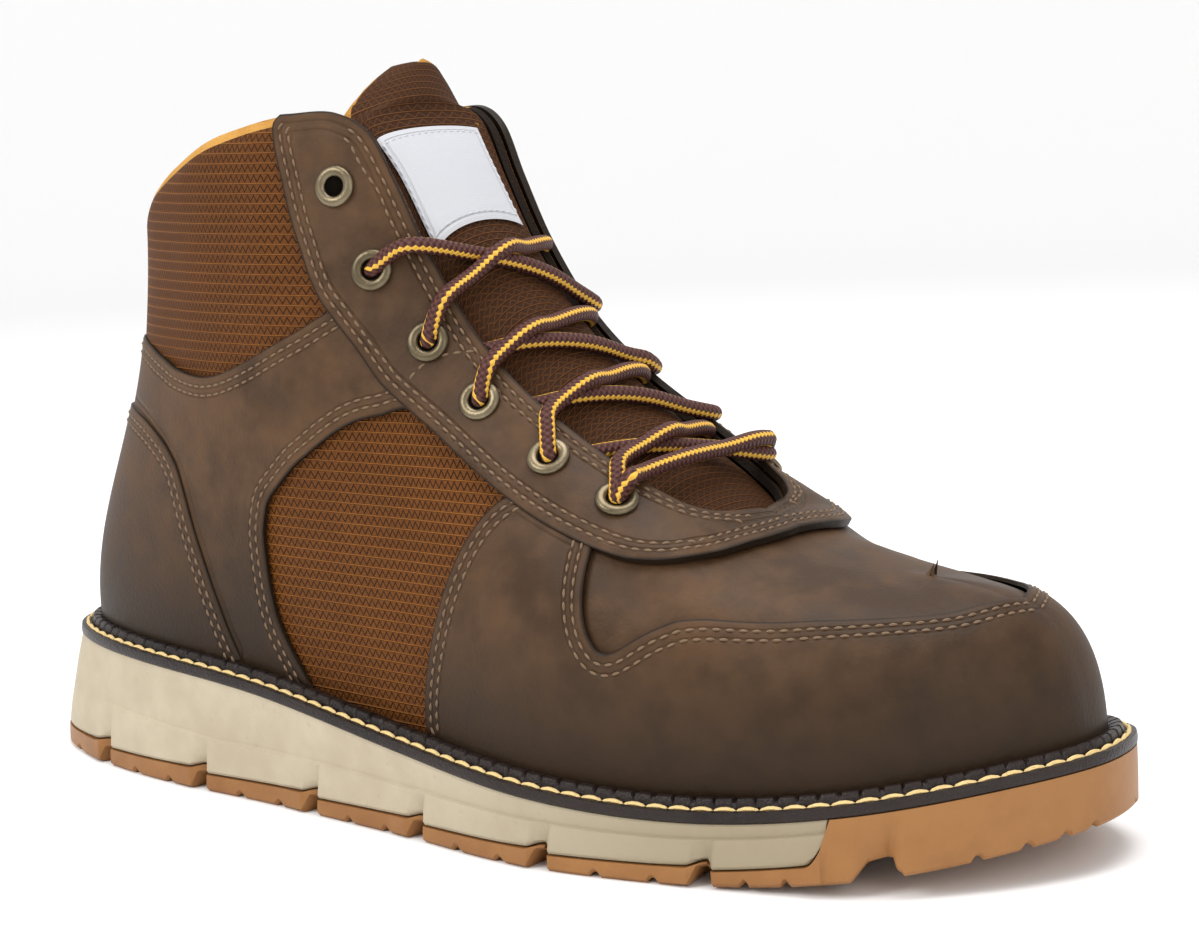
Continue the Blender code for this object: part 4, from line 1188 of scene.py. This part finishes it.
def moved_in(line, distance, toward):
    """Line of (s, t) moved on the surface by a distance, to the side of the point named toward."""
    s, t = line[:, 0], line[:, 1]
    zero = np.zeros(len(s))
    p = layer(s, t, zero)
    along = np.gradient(p, axis=0)
    across = unit(np.cross(outward(s, t), along))
    middle = len(s) // 2
    goal = form(*toward) - p[middle]
    if goal @ across[middle] < 0:
        across = -across
    e = 0.003
    by_s = (form(s + e, t) - form(s - e, t)) / (2 * e)
    high, low = np.clip(t + e, 0, 1), np.clip(t - e, 0, 1)
    by_t = (form(s, high) - form(s, low)) / (high - low)[:, None]
    ss, st, tt = (by_s * by_s).sum(1), (by_s * by_t).sum(1), (by_t * by_t).sum(1)
    bs, bt = (by_s * across).sum(1), (by_t * across).sum(1)
    scale = distance / (ss * tt - st * st)
    out = np.c_[s + scale * (tt * bs - st * bt), t + scale * (ss * bt - st * bs)]
    out[:, 1] = np.clip(out[:, 1], 0, 1)
    far = np.linalg.norm(form(out[:, 0], out[:, 1]) - form(s, t), axis=1)
    return out[(out[:, 1] > 0.005) & (out[:, 1] < 0.998) & (np.abs(out[:, 0]) < 1) & (far < 1.5 * distance)]


def on_surface(line, height):
    s, t = line[:, 0], line[:, 1]
    depth = crease_depth(s, t)
    return layer(s, t, height - depth), outward(s, t)


# %% Thread finishes and the seams
thread_brown = finish("brown_thread", (0.150, 0.090, 0.046), 0.6, cloth_height, relief=0.0002)
thread_cream = finish("cream_thread", (0.72, 0.52, 0.22), 0.6, cloth_height, relief=0.0004)
ROWS = (2.4, 4.6)
THREAD_LIFT = 0.05
SEAM_STITCH = (2.9, 2.4, 0.34)
WELT_STITCH = (STITCH_PITCH, 5.5, 0.55)
mudguard_rear = mudguard_patch(1)[0]
mudguard_crown = mudguard_top[34:]
lines = []
for side in (-1, 1):
    turn = (side, 1)
    seams = [
        (eyestay_outer[side], (0.50, 0.85), LEVEL_TWO), (eyestay_inner, (0.55, 0.80), LEVEL_TWO),
        (counter_edge, (0.10, 0.25), LEVEL_TWO), (band_top, (0.15, 0.62), LEVEL_ONE),
        (band_front, (0.26, 0.45), LEVEL_ONE), (mudguard_rear, (0.58, 0.3), LEVEL_ONE),
        (mudguard_crown, (0.80, 0.25), LEVEL_ONE),
    ]
    for row in ROWS:
        for edge_line, (k, t), height in seams:
            lines.append(on_surface(moved_in(edge_line * turn, row, (side * k, t)), height + THREAD_LIFT))
    across_stay = even(np.array([(0.49, 0.68), (0.545, 0.96)]), 30) * turn
    lines.append(on_surface(across_stay, LEVEL_TWO + THREAD_LIFT))
lay_stitches("leather_seams", lines, *SEAM_STITCH, thread_brown, "brown_leather")


def welt_line(side, inset):
    ks = np.linspace(0, 1, 400)
    x, y = plan(WELT, side, ks, inset)[:2]
    line = np.stack([x, y, midsole_top(x) + CLEAR + WELT_THICK + 0.25], -1)
    return line, np.tile((0.0, 0.0, 1.0), (len(ks), 1))


lay_stitches("welt_thread", [welt_line(side, 1.9) for side in (-1, 1)],
             *WELT_STITCH, thread_cream, "dark_welt", dive=0.9)

# %% [markdown]
# ## Tongue and label
# The tongue is a padded sheet. Its rows lie under both edges of the throat and arch between them, and
# above the throat they follow a short table. The woven label on it is left bare but for its stitched border.

# %% Tongue
TONGUE_KS = [0.745, 0.72, 0.69, 0.66, 0.62, 0.58, 0.54, 0.5, 0.46, 0.425]
TONGUE_TOP = [
    # x, half width, z, drop, shift to the medial side
    (-0.085, 0.21, 1.02, 0.03, 0.0),
    (-0.095, 0.165, 1.055, 0.03, 0.03),
    (-0.103, 0.075, 1.078, 0.012, 0.075),
]
TONGUE_WING = {"k": [0.425, 0.5], "t": [0.93, 0.80]}
TONGUE_ARCH = {"k": [0.425, 0.46, 0.50, 0.54], "reach": [0.08, 0.16, 0.28, 0.36]}
TONGUE_WALL = 4.5
TONGUE_CURL = 6.0
LABEL_THICK = 0.8
FINER = 8
LINED_ROWS = 26
LINED_EDGE = 1.7


def tongue_row(k):
    ts = np.linspace(np.interp(k, TONGUE_WING["k"], TONGUE_WING["t"]), 1.0, 3)
    if k >= RIDGE_START - 0.005:
        ts = np.linspace(TONGUE_WING["t"][-1], 1.0, 6)
    lateral = [layer(-k, t, TONGUE_DEPTH) for t in ts]
    medial = [layer(k, t, TONGUE_DEPTH) for t in ts[::-1]]
    if len(ts) == 6:
        return lateral + medial[1:]
    start, end = lateral[-1], medial[0]
    reach = np.linalg.norm(end - start) * np.interp(k, TONGUE_ARCH["k"], TONGUE_ARCH["reach"])
    first, second = start - lateral[-2], end - medial[1]
    a = start + first / np.linalg.norm(first) * reach
    b = end + second / np.linalg.norm(second) * reach
    arch = []
    for w in np.linspace(0, 1, 7)[1:-1]:
        arch.append(start * (1 - w) ** 3 + 3 * a * w * (1 - w) ** 2 + 3 * b * w * w * (1 - w) + end * w ** 3)
    return lateral + arch + medial


def tongue_grid():
    rows = [tongue_row(k) for k in TONGUE_KS]
    mid_y = 0.5 * (rows[-1][0][1] + rows[-1][-1][1])
    w = np.linspace(-1, 1, len(rows[0]))
    for x, half, z, drop, shift in TONGUE_TOP:
        rows.append(np.stack([x * LENGTH - TONGUE_CURL * w * w, mid_y + BALL_WIDTH * (shift + half * w),
                              (z - drop * w * w) * COLLAR_HEIGHT], -1))
    return np.array(rows)


def finer(grid, each):
    """The same grid with more rows and columns, on smooth curves through its points."""
    rows = spline(grid.reshape(len(grid), -1), each=each).reshape(-1, grid.shape[1], 3)
    turned = rows.transpose(1, 0, 2)
    return spline(turned.reshape(len(turned), -1), each=each).reshape(-1, len(rows), 3).transpose(1, 0, 2)


def grid_normals(grid):
    n = unit(np.cross(np.gradient(grid, axis=1), np.gradient(grid, axis=0)))
    middle = n[grid.shape[0] // 2, grid.shape[1] // 2]
    return n * (1 if middle[0] + middle[2] > 0 else -1)


def pad(name, grid, wall, rounding, materials):
    """Closed pad: the grid, the grid set back by the wall, and rounded sides between them."""
    rows, columns = grid.shape[:2]
    normal = grid_normals(grid)
    flat = grid.reshape(-1, 3)
    index = np.arange(rows * columns).reshape(rows, columns)
    rim = list(index[0]) + list(index[1:, -1]) + list(index[-1, -2::-1]) + list(index[-2:0:-1, 0])
    pairs = list(zip(rim, rim[1:] + rim[:1]))
    edge = edge_distance(flat, pairs, np.ones(len(flat), bool))
    round_off = (0.42 * wall * (1 - np.clip(edge / rounding, 0, 1)) ** 2).reshape(rows, columns)[..., None]
    top = (grid - normal * round_off).reshape(-1, 3)
    under = (grid - normal * (wall - round_off)).reshape(-1, 3)
    n = len(flat)
    faces = quads(rows, columns)
    count = len(faces)
    faces += [tuple(v + n for v in f[::-1]) for f in faces]
    faces += [(b, a, a + n, b + n) for a, b in pairs]
    obj = new_mesh(name, np.vstack([top, under]), faces, materials)
    face_outward(obj)
    u = run_along(grid[rows // 2])
    v = run_along(grid[:, columns // 2])
    uv = np.stack(np.meshgrid(v, u, indexing="ij")[::-1], -1).reshape(-1, 2)
    set_uv(obj, np.vstack([uv, uv]))
    set_attribute(obj, "edge", np.r_[edge, np.zeros(n)])
    if len(materials) > 1:
        tip = columns * (rows - LINED_ROWS)
        near = [1 if min(edge[i] for i in f) < LINED_EDGE and f[0] > tip else 0 for f in faces[:count]]
        rest = [1 if min(v % n for v in f) > tip else 0 for f in faces[count:]]
        obj.data.polygons.foreach_set("material_index", np.array(near + rest, np.int32))
    return obj


grid = finer(tongue_grid(), FINER)
tongue = pad("padded_tongue", grid, TONGUE_WALL, 3.2, [tongue_cloth, lining])
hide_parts("tongue")

# %% Label
LABEL_ROWS = (7.05, 8.6)
LABEL_COLUMNS = (2.3, 6.6)
LABEL_WHITE = (0.47, 0.475, 0.50)
LABEL_STITCH = (2.4, 1.9, 0.25)


def label_height(tree):
    u, v = uv_axes(tree)
    across = maths(tree, "SINE", maths(tree, "MULTIPLY", u, 9.0))
    along = maths(tree, "SINE", maths(tree, "MULTIPLY", v, 14.0))
    border = line_at(tree, attribute(tree, "edge"), 1.7, 0.5)
    cloth = maths(tree, "MULTIPLY", maths(tree, "ADD", across, along), 0.05)
    return maths(tree, "SUBTRACT", cloth, border)


label_cloth = finish("label_cloth", LABEL_WHITE, 0.55, label_height, relief=0.0003)
lifted = grid + grid_normals(grid) * (CLEAR + LABEL_THICK)
first_row, last_row = [int(round(r * FINER)) for r in LABEL_ROWS]
first_column, last_column = [int(round(c * FINER)) for c in LABEL_COLUMNS]
label_grid = lifted[first_row:last_row + 1, first_column:last_column + 1]
label = pad("bare_label", label_grid, LABEL_THICK, 0.8, [label_cloth])
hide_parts("tongue_label")


def label_border(inset):
    """Closed line a few steps inside the label's grid, with its normals."""
    g = label_grid[inset:-inset, inset:-inset]
    n = grid_normals(label_grid)[inset:-inset, inset:-inset]
    points, normals = [np.vstack([a[0], a[1:, -1], a[-1, -2::-1], a[-2::-1, 0]]) for a in (g, n)]
    return points + normals * THREAD_LIFT, normals


label_thread = finish("label_thread", (0.50, 0.51, 0.54), 0.6)
lay_stitches("label_stitches", [label_border(1)], *LABEL_STITCH, label_thread, "label_cloth")

# %% [markdown]
# ## Eyelets
# A set eyelet is a rolled brass ring round its hole, which is a short dark cylinder: painted shade for the
# inside of the hole. One is made from a torus and that cylinder, flattened, and its mesh is copied to the
# twelve places.

# %% Eyelets
EYELETS = [(0.645, 0.865), (0.605, 0.86), (0.555, 0.85), (0.508, 0.82), (0.445, 0.775), (0.412, 0.87)]
EYELET_RING = 3.7
EYELET_ROLL = 1.35
EYELET_FLAT = 0.72


def brass_colour(tree):
    return mix(tree, grain(tree, 900)["Mottle"], (0.10, 0.078, 0.045), (0.26, 0.21, 0.135))


brass = finish("antique_brass", brass_colour, 0.34, fine_grain, relief=0.00005, metallic=0.9)
# Dark disc inside each ring: painted shade for the hole.
painted_hole_shade = finish("painted_hole_shade", (0.005, 0.004, 0.003), 0.9, shine=0.0)

bpy.ops.object.select_all(action="DESELECT")
bpy.ops.mesh.primitive_torus_add(major_radius=EYELET_RING * MM, minor_radius=EYELET_ROLL * MM,
                                 major_segments=40, minor_segments=14)
ring = bpy.context.active_object
ring.data.materials.append(brass)
ring.scale = (1, 1, EYELET_FLAT)
bpy.ops.object.transform_apply(scale=True)
bpy.ops.mesh.primitive_cylinder_add(vertices=32, radius=(EYELET_RING - 0.8) * MM, depth=0.5 * MM,
                                    location=(0, 0, -0.1 * MM))
hole = bpy.context.active_object
bpy.ops.object.transform_apply(location=True)
hole.data.materials.append(painted_hole_shade)
ring.select_set(True)
bpy.context.view_layer.objects.active = ring
bpy.ops.object.join()
bpy.ops.object.shade_smooth()

for side, word in ((-1, "lateral"), (1, "medial")):
    for number, (k, t) in enumerate(EYELETS, 1):
        centre = layer(side * k, t, LEVEL_TWO + 0.45)
        up = Vector(outward(side * k, t))
        along = up.cross(Vector((0, side, 0))).normalized()
        turn = Matrix((along, up.cross(along), up)).transposed().to_4x4()
        mesh = ring.data.copy()
        mesh.transform(Matrix.Translation(Vector(centre) * MM) @ turn)
        copy = bpy.data.objects.new(f"eyelet_ring_{word}_{number}", mesh)
        bpy.context.scene.collection.objects.link(copy)
        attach(copy, "root")
        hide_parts(f"eyelet_{word}_{number}")
bpy.data.objects.remove(ring, do_unlink=True)
print("eyelets:", 2 * len(EYELETS))

# %% [markdown]
# ## Laces
# A round braided lace leaves an eyelet, crosses the tongue and dives under the other side's edge. Each run
# is a smooth curve that is pushed off the tongue and off the lace below it, so it lies on them.

# %% Lace finish and tube
LACE_RADIUS = 1.95
LACE_MAROON = (0.105, 0.038, 0.030)
LACE_GROOVE_SHADE = (0.040, 0.012, 0.010)
LACE_GOLD = (0.72, 0.41, 0.055)
LACE_BANDS = 3
LACE_TOOTH = 1.5
LACE_TURNS = 14


def braid(tree):
    """1 in the gold bands along the lace. Their edges are toothed where gold and maroon threads cross."""
    u, v = uv_axes(tree)
    tooth = maths(tree, "PINGPONG", maths(tree, "DIVIDE", u, LACE_TOOTH), 0.5)
    place = maths(tree, "FRACT", maths(tree, "MULTIPLY", v, LACE_BANDS))
    away = maths(tree, "ABSOLUTE", maths(tree, "SUBTRACT", place, 0.5))
    reach = maths(tree, "ADD", 0.05, maths(tree, "MULTIPLY", tooth, 0.28))
    return ramp(tree, maths(tree, "SUBTRACT", reach, away), -0.02, 0.02)


def lace_height(tree):
    u, v = uv_axes(tree)
    around = maths(tree, "MULTIPLY", v, 16.0)
    waves = []
    for turn in (2.0, -2.0):
        twist = maths(tree, "MULTIPLY", around, turn)
        waves.append(maths(tree, "SINE", maths(tree, "MULTIPLY_ADD", u, 4.19, twist)))
    return maths(tree, "MULTIPLY", maths(tree, "ADD", *waves), 0.25)


def lace_colour(tree):
    # Painted shade: the maroon darkens where the braid's relief is low, between its strands.
    body = mix(tree, ramp(tree, lace_height(tree), -0.4, 0.4), LACE_GROOVE_SHADE, LACE_MAROON)
    return mix(tree, braid(tree), body, LACE_GOLD)


lace_finish = finish("lace_cord", lace_colour, 0.55, lace_height, relief=0.0004, shine=0.2)


def tube(name, path, radius, sides=14):
    tangent = unit(np.gradient(path, axis=0))
    side = unit(np.cross(tangent, (0.5, 0.0, 1.0)))
    other = np.cross(tangent, side)
    points = []
    for p, u, v in zip(path, side, other):
        for i in range(sides):
            a = 2 * math.pi * i / sides
            points.append(p + radius * (math.cos(a) * u + math.sin(a) * v))
    run = run_along(path)
    faces, uv = quads(len(path), sides, around=True), []
    for i in range(len(path) - 1):
        for j in range(sides):
            low, high = j / sides, (j + 1) / sides
            uv += [(run[i], low), (run[i], high), (run[i + 1], high), (run[i + 1], low)]
    last = (len(path) - 1) * sides
    faces += [tuple(range(sides))[::-1], tuple(last + j for j in range(sides))]
    uv += [(0, 0)] * (2 * sides)
    obj = new_mesh(name, points, faces, [lace_finish], smooth_angle=80)
    obj.data.uv_layers.new(name="pattern").data.foreach_set("uv", np.array(uv, np.float32).ravel())
    return obj


# %% Lace runs
tongue_points = grid.reshape(-1, 3)
tongue_normals = grid_normals(grid).reshape(-1, 3)
tongue_tree = point_tree(tongue_points)
INSTEP_UP = np.array((0.62, 0.0, 0.78))


def push_off(path, below, first, last):
    """Lift the part of the path between two points off the tongue and off the laces below."""
    for i in range(first, last):
        _, near, _ = tongue_tree.find(path[i])
        height = (path[i] - tongue_points[near]) @ tongue_normals[near]
        if height < LACE_RADIUS + 0.3:
            path[i] += tongue_normals[near] * (LACE_RADIUS + 0.3 - height)
        for lower in below:
            away = path[i] - lower
            gap = np.linalg.norm(away, axis=1)
            if gap.min() < 2 * LACE_RADIUS:
                path[i] += INSTEP_UP * (2 * LACE_RADIUS - gap.min())
    return path


# For each crossing: how far along k the lace leaves the edge from its eyelet, and where it dives
LEAVES = {-1: [-0.008, -0.008, 0.004, 0.012], 1: [0.010, 0.015, 0.028, 0.027]}
DIVES = {-1: [0.625, 0.583, 0.542, 0.500], 1: [0.622, 0.587, 0.550, 0.495]}
ON_LEATHER = LEVEL_TWO + LACE_RADIUS + 0.1


def leaving(side, number, shift):
    """The start of a run: up out of the eyelet, along the leather and over the edge."""
    k, t = EYELETS[number]
    high = ON_LEATHER if side < 0 else ON_LEATHER - 0.7
    return [layer(side * k, t, -1.6), layer(side * k, t, 1.0),
            layer(side * (k + 0.45 * shift), t + 0.45 * (1 - t), high),
            layer(side * (k + shift), 1.0, high - 0.2)]


def arched(start, end, height):
    """Two points on the way from start to end, lifted off the instep."""
    return [start + (end - start) * w + INSTEP_UP * height * math.sin(math.pi * w) for w in (0.33, 0.67)]


def relaxed(path, below, first, last):
    """The path, pushed off what is below it and evened out in turns. Its ends stay."""
    for _ in range(LACE_TURNS):
        path = push_off(path, below, first, len(path) - last)
        path[1:-1] = 0.25 * path[:-2] + 0.5 * path[1:-1] + 0.25 * path[2:]
    return path


def lace_run(side, low, below):
    """Path from an eyelet on one side over the tongue to the other side. The last one enters its eyelet."""
    rows = leaving(side, low, LEAVES[side][low])
    k1 = DIVES[side][low]
    last = side == 1 and low == 3
    if last:
        far = leaving(-side, low + 1, k1 - EYELETS[low + 1][0])[::-1]
    else:
        far = [layer(-side * k1, 1.0, -2.2), layer(-side * (k1 - 0.012), 0.93, TONGUE_DEPTH + 0.4)]
    rows += arched(rows[-1], far[0], 2.2)
    return relaxed(spline(np.array(rows + far), each=10), below, 30, 30 if last else 12)


def lace_bar():
    """The lowest run lies on top of the first crossing, from eyelet to eyelet."""
    near, far = leaving(-1, 0, 0.004), leaving(1, 0, 0.006)
    middle = arched(near[-1], far[-1], 3.0)
    return spline(np.array(near + middle + far[::-1]), each=10)


paths = []
for low in range(4):
    under = lace_run(1, low, paths[-2:])
    over = lace_run(-1, low, paths[-2:] + [under])
    paths += [under, over]
    for word, path in (("under", under), ("over", over)):
        run = tube(f"lace_{low + 1}_{word}", path, LACE_RADIUS)
        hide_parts(f"lace_cross_{low + 1}")
bar_path = relaxed(lace_bar(), paths[:2], 16, 28)
bar = tube("lace_lowest_bar", bar_path, LACE_RADIUS)
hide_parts("lace_bar")
print("lace runs:", len(paths) + 1)

# %% [markdown]
# ## Floor finish
# The floor is plain and pale.

# %% Floor and finish
floor.data.materials.append(finish("pale_floor", (0.93, 0.93, 0.93), 0.8, shine=0.0))
